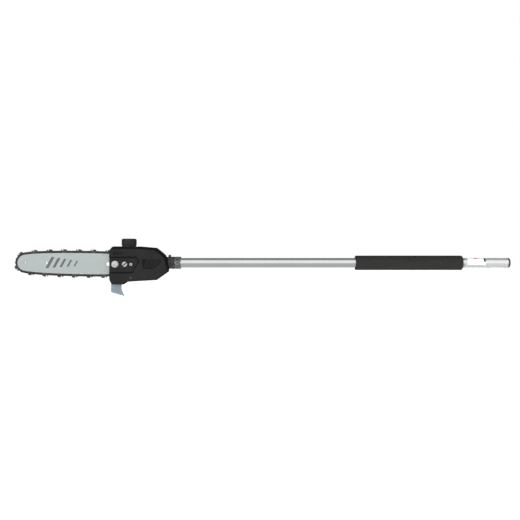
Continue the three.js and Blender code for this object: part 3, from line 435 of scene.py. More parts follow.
# ================================================================ the coupler end
# A black bushing plugs the pole's end and centres the square drive tip. Two steel blind
# rivets underneath hold it and the last shaft bushing.
TIP_HALF = 3.5
BUSHING_BORE = 9.7
RIVETS_ALONG = (-54.0, -11.0)

black_rubber, field, place = surface("black_rubber", 0.0, 0.6, (0.014, 0.014, 0.014))
bloom = field.noise(place, 260, 4)
coat(
    black_rubber,
    Base_Color=bloom.mix((0.01, 0.01, 0.01, 1), (0.025, 0.025, 0.025, 1)),
    Roughness=0.5 + bloom * 0.25,
    Normal=field.bump(bloom, 0.00008),
)
bright_zinc, field, place = surface("bright_zinc", 1.0, 0.25, (0.78, 0.78, 0.77))
polish = field.noise(place, 700, 4)
coat(
    bright_zinc,
    Base_Color=polish.mix((0.68, 0.68, 0.68, 1), (0.86, 0.86, 0.85, 1)),
    Roughness=0.18 + polish * 0.2,
    Normal=field.bump(polish, 0.00003),
)

bushing = bmesh.new()
turn(bushing, [
    (-40, 4.5), (-40, 10.6), (-4.2, 10.6), (-4.2, POLE_RADIUS - 0.6), (-3.6, POLE_RADIUS),
    (-0.8, POLE_RADIUS), (0, POLE_RADIUS - 0.8), (0, BUSHING_BORE + 0.4), (-0.4, BUSHING_BORE),
    (-34, BUSHING_BORE), (-34, 4.5),
], steps=72)
bushing_hole = bmesh.new()
rod(bushing_hole, LOCK_HOLE[1] - 0.05, (0, 20), "z", (LOCK_HOLE[0], 0, 0))
bushing = carved(bushing, bushing_hole)
settle(bushing, "end_bushing", black_rubber, POLE_PLACE, "head_and_pole",
       ["coupler_end_bushing"])

rim_ring = bmesh.new()
turn(rim_ring, [
    (-6.4, POLE_RADIUS), (-6.2, POLE_RADIUS + 0.06), (-4.6, POLE_RADIUS + 0.06), (-4.4, POLE_RADIUS - 0.3),
    (-6.4, POLE_RADIUS - 0.3),
], steps=72)
settle(rim_ring, "pole_end_rim", bright_zinc, POLE_PLACE, "head_and_pole")

tip = bmesh.new()
bmesh.ops.create_cube(tip, size=1)
tip.transform(Matrix.Translation((-16.5, 0, 0)) @ Matrix.Diagonal((33, 2 * TIP_HALF, 2 * TIP_HALF, 1)))
round_edges(tip, 0.5, 3)
settle(tip, "square_drive_tip", bright_zinc, POLE_PLACE, "drive_line", ["drive_tip"])

for order, along in enumerate(RIVETS_ALONG, 1):
    head_profile = [(-13.9, 0), (-13.8, 1.0), (-13.4, 1.9), (-12.9, 2.35), (-12.5, 2.4), (-12.5, 1.2)]
    reach = -8.0 if order == 1 else -9.9
    rivet = bmesh.new()
    turn(rivet, [*head_profile, (reach, 1.2), (reach, 0)], "z", (along, 0, 0), 32)
    settle(rivet, f"pole_rivet_{order}", bright_zinc, POLE_PLACE, "head_and_pole",
           [f"coupler_rivet_{order}"])

# ================================================================ the guide bar
# Two ground steel side plates spot-welded to a thin core, with a groove between them for
# the chain. Clear lacquer covers it, with a plain printed mark of slanted stripes.
stud_low, stud_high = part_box("bar_stud")
HEAD = sum(corner.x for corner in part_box("output_shaft")) / 2
STUD = ((stud_low.x + stud_high.x) / 2, (stud_low.z + stud_high.z) / 2)
BAR_TILT = math.radians(0.9)
BAR_PLACE = (
    Matrix.Translation((STUD[0], 0, STUD[1])) @ Matrix.Rotation(BAR_TILT, 4, "Y") @ Matrix.Scale(MM, 4)
)
HEAD_PLACE = Matrix.Translation((HEAD, 0, 0)) @ Matrix.Scale(MM, 4)
CHAIN_Y = -22.0
NOSE_X = -233.8
NOSE_RADIUS = 20.7
BELLY = 27.0
PLATES = {"near": (-23.95, -22.65), "core": (-22.6, -21.4), "far": (-21.35, -20.05)}


def bezier(start, handle, end, steps):
    """Points along a curve with one handle."""
    return [
        Vector(start) * (1 - t) ** 2 + Vector(handle) * 2 * t * (1 - t) + Vector(end) * t * t
        for t in (step / steps for step in range(steps + 1))
    ]


def bar_outline(grow=0.0):
    """The bar's edge as (x, z), from the nose along the top to the tail and back underneath."""
    lead = math.radians(10)
    nose_end = Vector((NOSE_X - NOSE_RADIUS * math.sin(lead), NOSE_RADIUS * math.cos(lead)))
    meet = (nose_end.x + (BELLY - nose_end.y) / math.tan(lead), BELLY)
    upper = bezier(nose_end, meet, (-74, BELLY), 18)
    upper += bezier((-74, BELLY), (-34, BELLY), (-8, 25.4), 8)[1:]
    upper += [Vector((49, 13.2)), Vector((51, 9))]
    lower = [Vector((p.x, -p.y)) for p in reversed(upper)]
    sweep = math.pi - 2 * lead
    angles = [math.pi / 2 + lead + sweep * (1 - step / 28) for step in range(1, 28)]
    nose = [Vector((NOSE_X + NOSE_RADIUS * math.cos(a), NOSE_RADIUS * math.sin(a))) for a in angles]
    points = [*upper, *lower, *nose]
    if not grow:
        return points
    grown = []
    for before, here, after in zip(points[-1:] + points[:-1], points, points[1:] + points[:1]):
        first = (here - before).normalized()
        second = (after - here).normalized()
        normal = Vector((-(first.y + second.y), first.x + second.x)).normalized()
        share = max(0.3, normal.dot(Vector((-first.y, first.x))))
        grown.append(here + normal * grow / share)
    return grown


def slab(shape, outline, low, high):
    """A flat plate with this (x, z) outline, between two places on Y."""
    base = shape.faces.new([shape.verts.new((x, low, z)) for x, z in outline])
    grown = bmesh.ops.extrude_face_region(shape, geom=[base])["geom"]
    risen = [part for part in grown if isinstance(part, bmesh.types.BMVert)]
    bmesh.ops.translate(shape, verts=risen, vec=(0, high - low, 0))
    return shape


def bar_holes():
    """Tools for the holes through the bar: slot, nose hole, grease hole, hanging hole and tensioner hole."""
    tools = []
    for x, z, radius in [
        (NOSE_X - 1.5, 0.6, 2.3), (NOSE_X + 4.2, 3.4, 1.0), (-180.2, 0.4, 3.4), (40.0, 0.0, 3.0),
    ]:
        tools.append(bmesh.new())
        rod(tools[-1], radius, (-30, -14), "y", (x, 0, z), 32)
    slot_outline = []
    for middle, start in [(8.3, -math.pi / 2), (-22.6, math.pi / 2)]:
        for step in range(17):
            angle = start + step * math.pi / 16
            slot_outline.append((middle + 4.7 * math.cos(angle), 4.7 * math.sin(angle)))
    tools.append(slab(bmesh.new(), slot_outline, -30, -14))
    return tools


bar_steel, field, place = surface("lacquered_bar_steel", 0.55, 0.38, (0.5, 0.55, 0.54), Coat_Roughness=0.2)
x, y, z = (field.part(place, letter) for letter in "xyz")
ground = field.noise(field.stretched(place, (9, 300, 460)), 1.6, 5, 0.6)
cloud = field.noise(place, 22, 3)
stripes = None
for order in range(5):
    slant = (x - (HEAD - 0.246 + order * 0.017)) - (z - 0.002) * 0.55
    low_end = -0.0135 + order * 0.0012
    high_end = 0.015 - order * 0.0024
    stripe = (field.math("ABSOLUTE", slant) < 0.0042 - order * 0.0005) * (z > low_end) * (z < high_end)
    stripes = stripe if stripes is None else stripes + stripe
ink = stripes * (y < -0.02375) * (0.9 - (field.noise(place, 900, 3) > 0.66) * 0.25)
steel_colour = (ground * 0.5 + cloud * 0.5).mix((0.4, 0.44, 0.435, 1), (0.52, 0.565, 0.555, 1))
coat(
    bar_steel,
    Base_Color=ink.mix(steel_colour, (0.07, 0.072, 0.075, 1)),
    Metallic=0.6 - ink * 0.5,
    Roughness=0.3 + ground * 0.16 + cloud * 0.06,
    Normal=field.bump(ground, 0.00002),
)

for side in ("near", "far"):
    plate = carved(slab(bmesh.new(), bar_outline(), *PLATES[side]), *bar_holes())
    round_edges(plate, 0.16, 2, 40)
    settle(plate, f"bar_plate_{side}", bar_steel, BAR_PLACE, "guide_bar",
           [f"bar_side_plate_{side}"])

# ================================================================ the saw chain
# Low-profile chain: drive links run in the bar's groove, and straps and cutters are
# riveted on both sides. Left-hand and right-hand cutters take turns, depth gauge leading.
LINKS = 80
SPROCKET_PITCH_RADIUS = 18.4
RAIL_TO_RIVET = 3.7


def rivet_places():
    """Where the rivets sit, evenly spaced round the tight loop, in the order that the chain runs."""
    sprocket = BAR_PLACE.inverted() @ Vector((HEAD, 0, 0))
    circle = [
        Vector((sprocket.x, sprocket.z))
        + SPROCKET_PITCH_RADIUS * Vector((math.cos(step * math.pi / 48), math.sin(step * math.pi / 48)))
        for step in range(96)
    ]
    cloud = sorted([*bar_outline(RAIL_TO_RIVET), *circle], key=lambda p: (p.x, p.y))
    loop = []
    for run in (cloud, cloud[::-1]):
        kept = []
        for p in run:
            while len(kept) > 1 and (kept[-1] - kept[-2]).cross(p - kept[-1]) <= 1e-9:
                kept.pop()
            kept.append(p)
        loop += kept[:-1]
    lengths = [(b - a).length for a, b in zip(loop, loop[1:] + loop[:1])]
    pitch = sum(lengths) / LINKS
    places, side, gone = [], 0, 0.0
    for order in range(LINKS):
        want = order * pitch
        while gone + lengths[side] < want:
            gone += lengths[side]
            side += 1
        start, end = loop[side], loop[(side + 1) % len(loop)]
        places.append(start.lerp(end, (want - gone) / lengths[side]))
    return places, pitch


def ringed(centre, radius, start, end, steps):
    """Points on an arc, in degrees."""
    angles = [math.radians(start + (end - start) * step / steps) for step in range(steps + 1)]
    return [(centre[0] + radius * math.cos(a), centre[1] + radius * math.sin(a)) for a in angles]


rivets, pitch = rivet_places()
strap_outline = [
    *ringed((0, -0.4), 3.2, 100, 260, 6), *ringed((pitch, -0.4), 3.2, -80, 80, 6), (pitch / 2, 2.1),
]
drive_outline = [
    *ringed((0, 0), 2.5, 90, 235, 4), (1.2, -3.6), (3.0, -8.0), (3.8, -8.7), (5.4, -8.7), (6.0, -8.0),
    (6.6, -5.6), (8.0, -3.4), *ringed((pitch, 0), 2.5, -50, 90, 4),
]
cutter_outline = [
    *ringed((0, -0.4), 3.2, 165, 260, 4), *ringed((pitch, -0.4), 3.2, -80, 10, 4),
    (pitch + 2.5, 5.0), (pitch + 1.7, 5.7), (pitch + 0.5, 5.2), (pitch - 0.8, 2.9), (pitch - 2.2, 2.2),
    (pitch - 3.2, 3.4), (pitch - 2.6, 6.5), (-2.2, 5.5),
]
top_outline = [(-2.2, 4.7), (pitch - 3.0, 5.6), (pitch - 2.4, 6.5), (-2.2, 5.5)]

chain_steel, field, place = surface("oiled_chain_steel", 0.85, 0.38, (0.06, 0.06, 0.06))
oil = field.noise(place, 260, 4, 0.6)
smear = field.noise(place, 40, 2)
coat(
    chain_steel,
    Base_Color=(oil * 0.7 + smear * 0.3).mix((0.01, 0.01, 0.011, 1), (0.1, 0.1, 0.1, 1)),
    Roughness=0.25 + oil * 0.3,
    Normal=field.bump(oil, 0.00005),
)
chromed_cutter, field, place = surface("chromed_cutter", 0.95, 0.28, (0.22, 0.22, 0.22))
grit = field.noise(place, 500, 4, 0.6)
coat(
    chromed_cutter,
    Base_Color=grit.mix((0.015, 0.015, 0.016, 1), (0.2, 0.2, 0.2, 1)),
    Roughness=0.28 + grit * 0.25,
    Normal=field.bump(grit, 0.00004),
)

drive_links, straps, cutters, rivet_heads = (bmesh.new() for _ in range(4))


def lay_link(shape, outline, low, high, start, end):
    """Adds a plate to the chain, whose outline runs from one rivet to the next."""
    along = (end - start).normalized()
    out = Vector((along.y, -along.x))
    slab(shape, [start + along * s + out * n for s, n in outline], CHAIN_Y + low, CHAIN_Y + high)


for order, start in enumerate(rivets):
    end = rivets[(order + 1) % LINKS]
    for side in (-1, 1):
        head = Vector((start.x, 0, start.y))
        profile = [(CHAIN_Y + side * 1.8, 1.65), (CHAIN_Y + side * 2.25, 1.35), (CHAIN_Y + side * 2.4, 0.8)]
        profile = [(profile[0][0], 0), *profile, (profile[-1][0], 0)]
        turn(rivet_heads, profile, "y", head, 10)
    if order % 2 == 0:
        lay_link(drive_links, drive_outline, -0.55, 0.55, start, end)
        continue
    cutter_side = {1: -1, 5: 1}.get(order % 8)
    for side in (-1, 1):
        low, high = sorted((side * 0.62, side * 1.85))
        if side == cutter_side:
            lay_link(cutters, cutter_outline, low, high, start, end)
        else:
            lay_link(straps, strap_outline, low, high, start, end)
    if cutter_side:
        lay_link(cutters, top_outline, *sorted((cutter_side * -0.6, cutter_side * 3.1)), start, end)

for shape in (straps, drive_links, cutters):
    edges = [edge for edge in shape.edges if edge.calc_face_angle(0) > math.radians(60)]
    bmesh.ops.bevel(shape, geom=edges, offset=0.14, segments=1, profile=0.5, affect="EDGES", material=-1)
for shape, name, finish in [
    (drive_links, "chain_drive_links", chain_steel), (straps, "chain_straps", chain_steel),
    (cutters, "chain_cutters", chromed_cutter), (rivet_heads, "chain_rivets", chromed_cutter),
]:
    settle(shape, name, finish, BAR_PLACE, "head_and_pole", ["saw_chain"])

# ================================================================ the head housing
# Two halves of glass-filled nylon, moulded with a fine spark-eroded grain, and screwed
# together from behind round the gear case and the oil tank.
HOUSING = [
    (-86, -31), (-84.5, -43), (-80, -46), (-50, -46.6), (17.5, -43), (50, -21.5), (53.6, -14), (53.6, 10),
    (45, 16.8), (16.5, 38.6), (-12, 40.2), (-80, 39.8), (-86, 29),
]
HOOK_SKIRT = [(-84.5, -42), (-81, -53.5), (-59, -53.5), (-51, -45.6), (-51, -42)]  # below the front half
HOUSING_SPAN = tuple(corner.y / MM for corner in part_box("head_housing"))
BACK_SPAN = tuple(corner.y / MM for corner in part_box("back_cover"))
WALL = 2.5
NECK_HOLE = 16.3
HOUSING_SCREWS = [(-79, 33.5), (-78, -36), (17.5, 29.5), (29, -28)]
SCREW_WELL = 4.0
BARREL_RELIEF = 14.9  # room round the bearing barrel of the gear case


def moulded(name, low, high, grain_scale, grain_depth):
    """A moulded plastic finish between two greys, dulled unevenly by handling."""
    made, field, place = surface(name, 0.0, 0.5, low, Specular_IOR_Level=0.2)
    grain = field.noise(place, grain_scale, 5, 0.6)
    handling = field.noise(place, 30, 3)
    scuffs = field.noise(field.stretched(place, (60, 60, 900)), 1.0, 3) > 0.72
    return coat(
        made,
        Base_Color=(grain * 0.4 + handling * 0.5 + scuffs * 0.12).mix((*low, 1), (*high, 1)),
        Roughness=0.4 + grain * 0.22 + handling * 0.08,
        Normal=field.bump(grain, grain_depth),
    )


black_nylon = moulded("black_nylon", (0.009, 0.009, 0.009), (0.022, 0.022, 0.022), 1600, 0.00012)


def inner_outline(outline, distance):
    """An anticlockwise outline with each side moved inwards."""
    points = [Vector(p) for p in outline]
    moved = []
    for before, here, after in zip(points[-1:] + points[:-1], points, points[1:] + points[:1]):
        first = (here - before).normalized()
        second = (after - here).normalized()
        first_normal = Vector((-first.y, first.x))
        second_normal = Vector((-second.y, second.x))
        moved.append(here + (first_normal + second_normal) * distance / (1 + first_normal.dot(second_normal)))
    return moved


def loft(shape, layers):
    """A closed solid through outlines with the same number of corners, each as (y, outline)."""
    rings = [[shape.verts.new((x, y, z)) for x, z in outline] for y, outline in layers]
    for low, high in zip(rings, rings[1:]):
        for a, b, c, d in zip(low, low[1:] + low[:1], high[1:] + high[:1], high):
            shape.faces.new((a, b, c, d))
    shape.faces.new(rings[0])
    shape.faces.new(rings[-1])
    return shape


def tool_rod(radius, span, axis, centre, steps=48):
    """A round cutting tool."""
    shape = bmesh.new()
    rod(shape, radius, span, axis, centre, steps)
    return shape


front_half = loft(bmesh.new(), [
    (HOUSING_SPAN[1], HOUSING), (HOUSING_SPAN[0] + 1.2, HOUSING),
    (HOUSING_SPAN[0], inner_outline(HOUSING, 0.9)),
])
front_half = carved(
    front_half,
    slab(bmesh.new(), inner_outline(HOUSING, WALL), HOUSING_SPAN[0] + WALL, 5),
    tool_rod(12.7, (-30, -8), "y", (0, 0, 0)), tool_rod(NECK_HOLE, (49.7, 70), "x", (0, 0, 0)),
    tool_rod(BARREL_RELIEF, (5, 60), "x", (0, 0, 0)),
)
front_half = carved(
    front_half,
    slab(bmesh.new(), HOOK_SKIRT, HOUSING_SPAN[0] + 0.02, HOUSING_SPAN[1] - 0.02),
    operation="UNION",
)
round_edges(front_half, 0.5, 3, 30)
settle(
    front_half, "housing_front", black_nylon, HEAD_PLACE, "head_and_pole", ["head_housing"])

CAP_AT = tuple(sum(corner[axis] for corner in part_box("oil_cap")) / 2 for axis in (0, 1))
CAP_AT = ((CAP_AT[0] - HEAD) / MM, CAP_AT[1] / MM)
back_low, back_high = BACK_SPAN
SIGHT_FROM, SIGHT_TO = -74, -40
SIGHT_Z = 18
SIGHT_RADIUS = 4
sight_outline = [
    (x + SIGHT_RADIUS * math.cos(a), SIGHT_Z + SIGHT_RADIUS * math.sin(a))
    for x, start in ((SIGHT_FROM, math.pi / 2), (SIGHT_TO, -math.pi / 2))
    for a in (start + s * math.pi / 12 for s in range(13))
]
back_half = loft(bmesh.new(), [
    (back_low, HOUSING), (back_high - 7, HOUSING), (back_high - 3, inner_outline(HOUSING, 1.4)),
    (back_high, inner_outline(HOUSING, 5)),
])
ribs = []
for step in range(7):
    along = -22 + step * 7
    rib = [(along, -26), (along + 3, -26), (along + 15, -6), (along + 12, -6)]
    ribs.append(slab(bmesh.new(), rib, back_high - 0.8, back_high + 3))
back_half = carved(
    back_half,
    loft(bmesh.new(), [
        (back_low - 5, inner_outline(HOUSING, WALL)), (back_high - 8, inner_outline(HOUSING, WALL)),
        (back_high - WALL, inner_outline(HOUSING, WALL + 4.5)),
    ]),
    slab(bmesh.new(), sight_outline, back_high - 8, back_high + 5),
    tool_rod(14, (30, 50), "z", (*CAP_AT, 0)), tool_rod(NECK_HOLE, (49.7, 70), "x", (0, 0, 0)),
    tool_rod(BARREL_RELIEF, (30, 60), "x", (0, 0, 0)), *ribs,
)
for x, z in HOUSING_SCREWS:
    screw_hole = tool_rod(SCREW_WELL + 0.13, (back_high - 9.2, back_high + 4), "y", (x, 0, z), 36)
    back_half = carved(back_half, screw_hole)
screw_wells = []
for x, z in HOUSING_SCREWS:
    well = bmesh.new()
    turn(well, [
        (back_high - 20, 2.2), (back_high - 20, 5.6), (back_high - 4.5, 5.6), (back_high - 4.5, SCREW_WELL),
        (back_high - 9, SCREW_WELL), (back_high - 9, 2.2),
    ], "y", (x, 0, z), 32)
    screw_wells.append(well)
back_half = carved(back_half, *screw_wells, operation="UNION")
round_edges(back_half, 0.4, 3, 30)
settle(back_half, "housing_back", black_nylon, HEAD_PLACE, "head_and_pole", ["back_cover"])

# ================================================================ the housing's screws
# Black thread-forming screws with hexagon sockets, driven from behind into the front
# half's bosses.
dark_steel, field, place = surface("blackened_steel", 0.9, 0.4, (0.1, 0.1, 0.1))
scale = field.noise(place, 900, 4)
coat(
    dark_steel,
    Base_Color=scale.mix((0.05, 0.05, 0.052, 1), (0.17, 0.17, 0.17, 1)),
    Roughness=0.3 + scale * 0.25,
    Normal=field.bump(scale, 0.00003),
)


def socket_screw(head_radius, head_low, head_high, shank_radius, shank_end, axis, centre, key_radius):
    """A screw whose head reaches from head_low to head_high, open for a hexagon key at head_high."""
    side = 1 if head_high > head_low else -1
    shape = bmesh.new()
    turn(shape, [
        (shank_end, 0), (shank_end, shank_radius * 0.8), (shank_end + side * 0.8, shank_radius),
        (head_low, shank_radius), (head_low, head_radius), (head_high - side * 0.7, head_radius),
        (head_high - side * 0.2, head_radius - 0.25), (head_high, head_radius - 0.7), (head_high, 0),
    ], axis, centre, 40)
    depth = sorted((head_high - side * 1.6, head_high + side * 2))
    return carved(shape, tool_rod(key_radius, depth, axis, centre, 6))


for order, (x, z) in enumerate(HOUSING_SCREWS, 1):
    screw = socket_screw(3.8, back_high - 8.8, back_high - 5.6, 1.8, -9, "y", (x, 0, z), 1.8)
    settle(screw, f"housing_bolt_{order}", dark_steel, HEAD_PLACE, "head_and_pole",
           [f"housing_screw_{order}"])

# ================================================================ the chain cover
# One nylon moulding held by the bar nut and one screw. A sunken channel holds the bar
# nut and the tensioner; beside it is a recessed panel of plain ribs.
COVER_RIM = [
    (-90.9, -31), (-90.4, -44), (-84.8, -55.3), (-54.9, -55.3), (-49.5, -47.9), (26.2, -43.5), (30.5, -40.8),
    (57.3, -21.8), (58.2, -15), (52.6, 13.8), (49.3, 19.7), (41.7, 26.5), (27.5, 37.6), (-11.8, 41),
    (-83.6, 41.5), (-90.9, 33),
]
COVER_FACE = [
    (-89.8, -30.5), (-89.3, -43.3), (-84, -54), (-55.6, -54), (-50.2, -46.9), (25.6, -42.3), (29.4, -39.8),
    (55.4, -20.8), (56.2, -15), (49.6, 11.2), (46, 16), (38.9, 22), (24.8, 31.8), (-12, 34.9), (-82.2, 35.2),
    (-89.8, 30),
]
CHANNEL = [(-94, -24), (-31.8, -24), (-15.9, 4), (-21.5, 13.2), (-94, 13.2)]
BADGE = [(-2.8, -14.5), (21.8, -14.5), (41.1, -1.3), (41.1, 8.3), (-6.1, 8.3)]
cover_low, cover_high = (corner.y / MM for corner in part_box("chain_cover"))
BEVEL_Y = -36.0
CHANNEL_FLOOR = -38.5
COVER_SCREW = (-36.0, -38.4)
STUD_LOCAL = ((STUD[0] - HEAD) / MM, STUD[1] / MM)


def on_bar(x):
    """Where a place along the bar is in the head's frame, as (x, z)."""
    return (STUD_LOCAL[0] + x * math.cos(BAR_TILT), STUD_LOCAL[1] - x * math.sin(BAR_TILT))


TENSION_AT = on_bar(24.6)
BRACKET_AT = on_bar(40.6)

cover = loft(bmesh.new(), [(cover_high, COVER_RIM), (BEVEL_Y, COVER_RIM), (cover_low, COVER_FACE)])
round_edges(cover, 1.1, 4, 12)
channel_back = [(-97, -26.5), (-30.2, -26.5), (-12.6, 4.4), (-19.8, 15.7), (-97, 15.7)]
hollow = loft(bmesh.new(), [
    (cover_high + 2, inner_outline(COVER_RIM, WALL)), (BEVEL_Y, inner_outline(COVER_RIM, WALL)),
    (cover_low + WALL, inner_outline(COVER_FACE, WALL)),
])
mouth = slab(bmesh.new(), [(-97, -40.5), (-80, -40.5), (-80, 37), (-97, 37)], BEVEL_Y, cover_high + 2)
hollow = carved(hollow, mouth, operation="UNION")
hollow = carved(hollow, slab(bmesh.new(), channel_back, cover_low - 3, CHANNEL_FLOOR + WALL))
channel = loft(bmesh.new(), [
    (CHANNEL_FLOOR, CHANNEL), (cover_low - 0.1, inner_outline(CHANNEL, -2.6)),
    (cover_low - 2, inner_outline(CHANNEL, -2.6)),
])
badge_recess = loft(bmesh.new(), [
    (cover_low + 1.3, inner_outline(BADGE, 0.6)), (cover_low - 0.5, inner_outline(BADGE, -0.7)),
])
chevrons = []
for step in range(3):
    along = -80 + step * 9
    chevrons.append(slab(bmesh.new(), [
        (along, 21), (along + 5, 21), (along + 8, 24), (along + 5, 27), (along, 27), (along + 3, 24),
    ], cover_low - 1, cover_low + 0.5))
cover = carved(
    cover, hollow, channel, badge_recess, *chevrons,
    tool_rod(4.6, (-50, -20), "y", (STUD_LOCAL[0], 0, STUD_LOCAL[1])),
    tool_rod(7.3, (-50, -30), "y", (TENSION_AT[0], 0, TENSION_AT[1])),
    tool_rod(6.0, (CHANNEL_FLOOR - 2, CHANNEL_FLOOR + 0.9), "y", (BRACKET_AT[0], 0, BRACKET_AT[1])),
    tool_rod(2.0, (-50, -30), "y", (BRACKET_AT[0], 0, BRACKET_AT[1]), 32),
    tool_rod(4.3, (-50, cover_low + 4), "y", (COVER_SCREW[0], 0, COVER_SCREW[1]), 32),
    slab(bmesh.new(), [(-94, -60), (-52.5, -60), (-52.5, -43.2), (-94, -43.2)], -22.6, -14),
    tool_rod(16.5, (48, 80), "x", (0, 0, 0)),
)
round_edges(cover, 0.35, 2, 35)
cover_nylon, field, place = surface("cover_nylon", 0.0, 0.45, (0.02, 0.02, 0.02), Specular_IOR_Level=0.2)
# Painted shade: every surface off the outer face and the channel floor (the recess walls, the bevels and the
# sides) gets a near-black colour that stands in for shade. The outer face and the channel floor keep the
# moulding's grey and are glossier.
depth = field.part(place, "y") / MM
unshaded_face_and_floor = (depth < cover_low + 0.5) + (field.math("ABSOLUTE", depth - CHANNEL_FLOOR) < 0.2)
grain = field.noise(place, 1600, 5, 0.6)
rubbed = field.noise(place, 30, 3) * 0.6 + grain * 0.4
coat(
    cover_nylon,
    Base_Color=unshaded_face_and_floor.mix(
        (0.0035, 0.0035, 0.0035, 1), rubbed.mix((0.006, 0.006, 0.006, 1), (0.02, 0.02, 0.02, 1)),
    ),
    Roughness=0.62 - unshaded_face_and_floor * 0.2 + grain * 0.18,
    Normal=field.bump(grain, 0.00012),
)
settle(cover, "chain_guard", cover_nylon, HEAD_PLACE, "head_and_pole", ["chain_cover"])

gloss_black, field, place = surface(
    "gloss_black_panel", 0.0, 0.3, (0.002, 0.002, 0.002), Specular_IOR_Level=0.2)
swirl = field.noise(place, 500, 3)
coat(
    gloss_black,
    Base_Color=swirl.mix((0.0015, 0.0015, 0.0015, 1), (0.004, 0.004, 0.004, 1)),
    Roughness=0.3 + swirl * 0.15,
)
badge_floor = slab(bmesh.new(), inner_outline(BADGE, 0.9), cover_low + 1.02, cover_low + 1.29)
settle(badge_floor, "panel_floor", gloss_black, HEAD_PLACE, "head_and_pole")
badge_ribs = bmesh.new()
for step in range(6):
    along = -1.5 + step * 7.2
    foot = max(-13.0, -13.0 + (along - 20.5) * 0.68)
    lean = (7.4 - foot) * 0.32
    top_end = min(along + lean, 39.0)
    slab(badge_ribs, [(along, foot), (along + 2.6, foot), (min(top_end + 2.6, 40.4), 7.4), (top_end, 7.4)],
         cover_low + 0.5, cover_low + 1.0)
round_edges(badge_ribs, 0.2, 2, 35)
settle(badge_ribs, "panel_ribs", black_nylon, HEAD_PLACE, "head_and_pole")

cover_bolt = socket_screw(
    3.9, cover_low + 3.7, cover_low + 1.2, 1.9, -16.5, "y", (COVER_SCREW[0], 0, COVER_SCREW[1]), 1.8)
settle(
    cover_bolt, "cover_bolt", dark_steel, HEAD_PLACE, "head_and_pole", ["chain_cover_screw"])

# ================================================================ the bar nut and its stud
# A flanged hexagon nut on a zinc-plated stud clamps the cover and the bar; the flange
# washer under it is the part that bears on the cover.
washer_span = tuple(corner.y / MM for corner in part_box("bar_nut_washer"))
nut_span = tuple(corner.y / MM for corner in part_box("bar_nut"))
stud_span = (stud_low.y / MM, stud_high.y / MM)
stud_centre = (STUD_LOCAL[0], 0, STUD_LOCAL[1])

washer = bmesh.new()
turn(washer, [
    (washer_span[1], 4.4), (washer_span[1], 9.1), (washer_span[1] - 0.25, 9.3), (washer_span[0] + 0.3, 9.3),
    (washer_span[0], 9.0), (washer_span[0], 4.4),
], "y", stud_centre, 64)
settle(washer, "flange_washer", bright_zinc, HEAD_PLACE, "nut_washer", ["bar_nut_washer"])

nut = bmesh.new()
turn(nut, [
    (nut_span[1], 4.1), (nut_span[1], 8.8), (nut_span[1] - 0.3, 9.0), (nut_span[1] - 1.2, 8.9),
    (nut_span[1] - 1.9, 7.9), (nut_span[1] - 1.9, 4.1),
], "y", stud_centre, 64)
hexagon = tool_rod(7.5, (nut_span[0], nut_span[1] - 1.0), "y", stud_centre, 6)
crown = bmesh.new()
turn(crown, [
    (nut_span[0] - 1, 0), (nut_span[0] - 1, 5.6), (nut_span[0] + 2.4, 9.5), (nut_span[1], 9.5),
    (nut_span[1], 0),
], "y", stud_centre, 48)
hexagon = carved(hexagon, crown, operation="INTERSECT")
nut = carved(nut, hexagon, operation="UNION")
nut = carved(nut, tool_rod(4.1, (-60, -30), "y", stud_centre, 40))
round_edges(nut, 0.2, 2, 35)
settle(nut, "flange_nut", bright_zinc, HEAD_PLACE, "clamp_nut", ["bar_nut"])


def threaded(shape, radius, span, axis, centre, thread, edge=0.6, steps=32):
    """A rod with the ridges of a thread along it."""
    low, high = span
    ridges = round((high - low - 2 * edge) / thread)
    profile = [(low, 0), (low, radius - edge), (low + edge, radius)]
    for step in range(ridges):
        base = low + edge + step * thread
        profile += [(base + thread * 0.5, radius - thread * 0.35), (base + thread, radius)]
    profile += [(high, radius), (high, 0)]
    turn(shape, profile, axis, centre, steps)


stud = bmesh.new()
threaded(stud, 4.0, (stud_span[0], -24.8), "y", stud_centre, 1.25)
rod(stud, 4.0, (-24.8, -9.0), "y", stud_centre, 40)
rod(stud, 7.2, (-9.6, stud_span[1]), "y", stud_centre, 6, 0.3)
settle(stud, "clamping_stud", bright_zinc, HEAD_PLACE, "head_and_pole", ["bar_stud"], 50)

# ================================================================ the chain tensioner
# A slotted screw turns a pair of small bevel gears, which turn a threaded spindle; its
# slider's pin pulls the bar. A small screw holds the pressed bracket to the cover.
tension_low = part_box("tension_screw")[0].y / MM
BAR_SCREW = (24.6, 0, 0)



def bevel_gear(shape, teeth, other_teeth, module, face, first):
    """A straight bevel gear about +X, whose cone comes to a point at the origin."""
    cone = math.atan2(teeth, other_teeth)
    pitch_radius = module * teeth / 2
    length = pitch_radius / math.sin(cone)
    rings = []
    for scale in (1, (length - face) / length):
        ring = []
        for tooth in range(teeth):
            middle = (tooth + first) * 2 * math.pi / teeth
            for rise, side in ((-1.15, -1), (0.75, -1), (0.75, 1), (-1.15, 1)):
                radius = pitch_radius + rise * module * math.cos(cone)
                half = (math.pi * 0.205 - rise * math.tan(math.radians(20))) * module / radius
                angle = middle + side * half
                along = length * math.cos(cone) - rise * module * math.sin(cone)
                ring.append(shape.verts.new(
                    Vector((along, radius * math.cos(angle), radius * math.sin(angle))) * scale))
        rings.append(ring)
    for a, b, c, d in zip(rings[0], rings[0][1:] + rings[0][:1], rings[1][1:] + rings[1][:1], rings[1]):
        shape.faces.new((a, b, c, d))
    for ring in rings:
        hub = shape.verts.new((ring[0].co.x, 0, 0))
        for a, b in zip(ring, ring[1:] + ring[:1]):
            shape.faces.new((a, b, hub))
    return shape


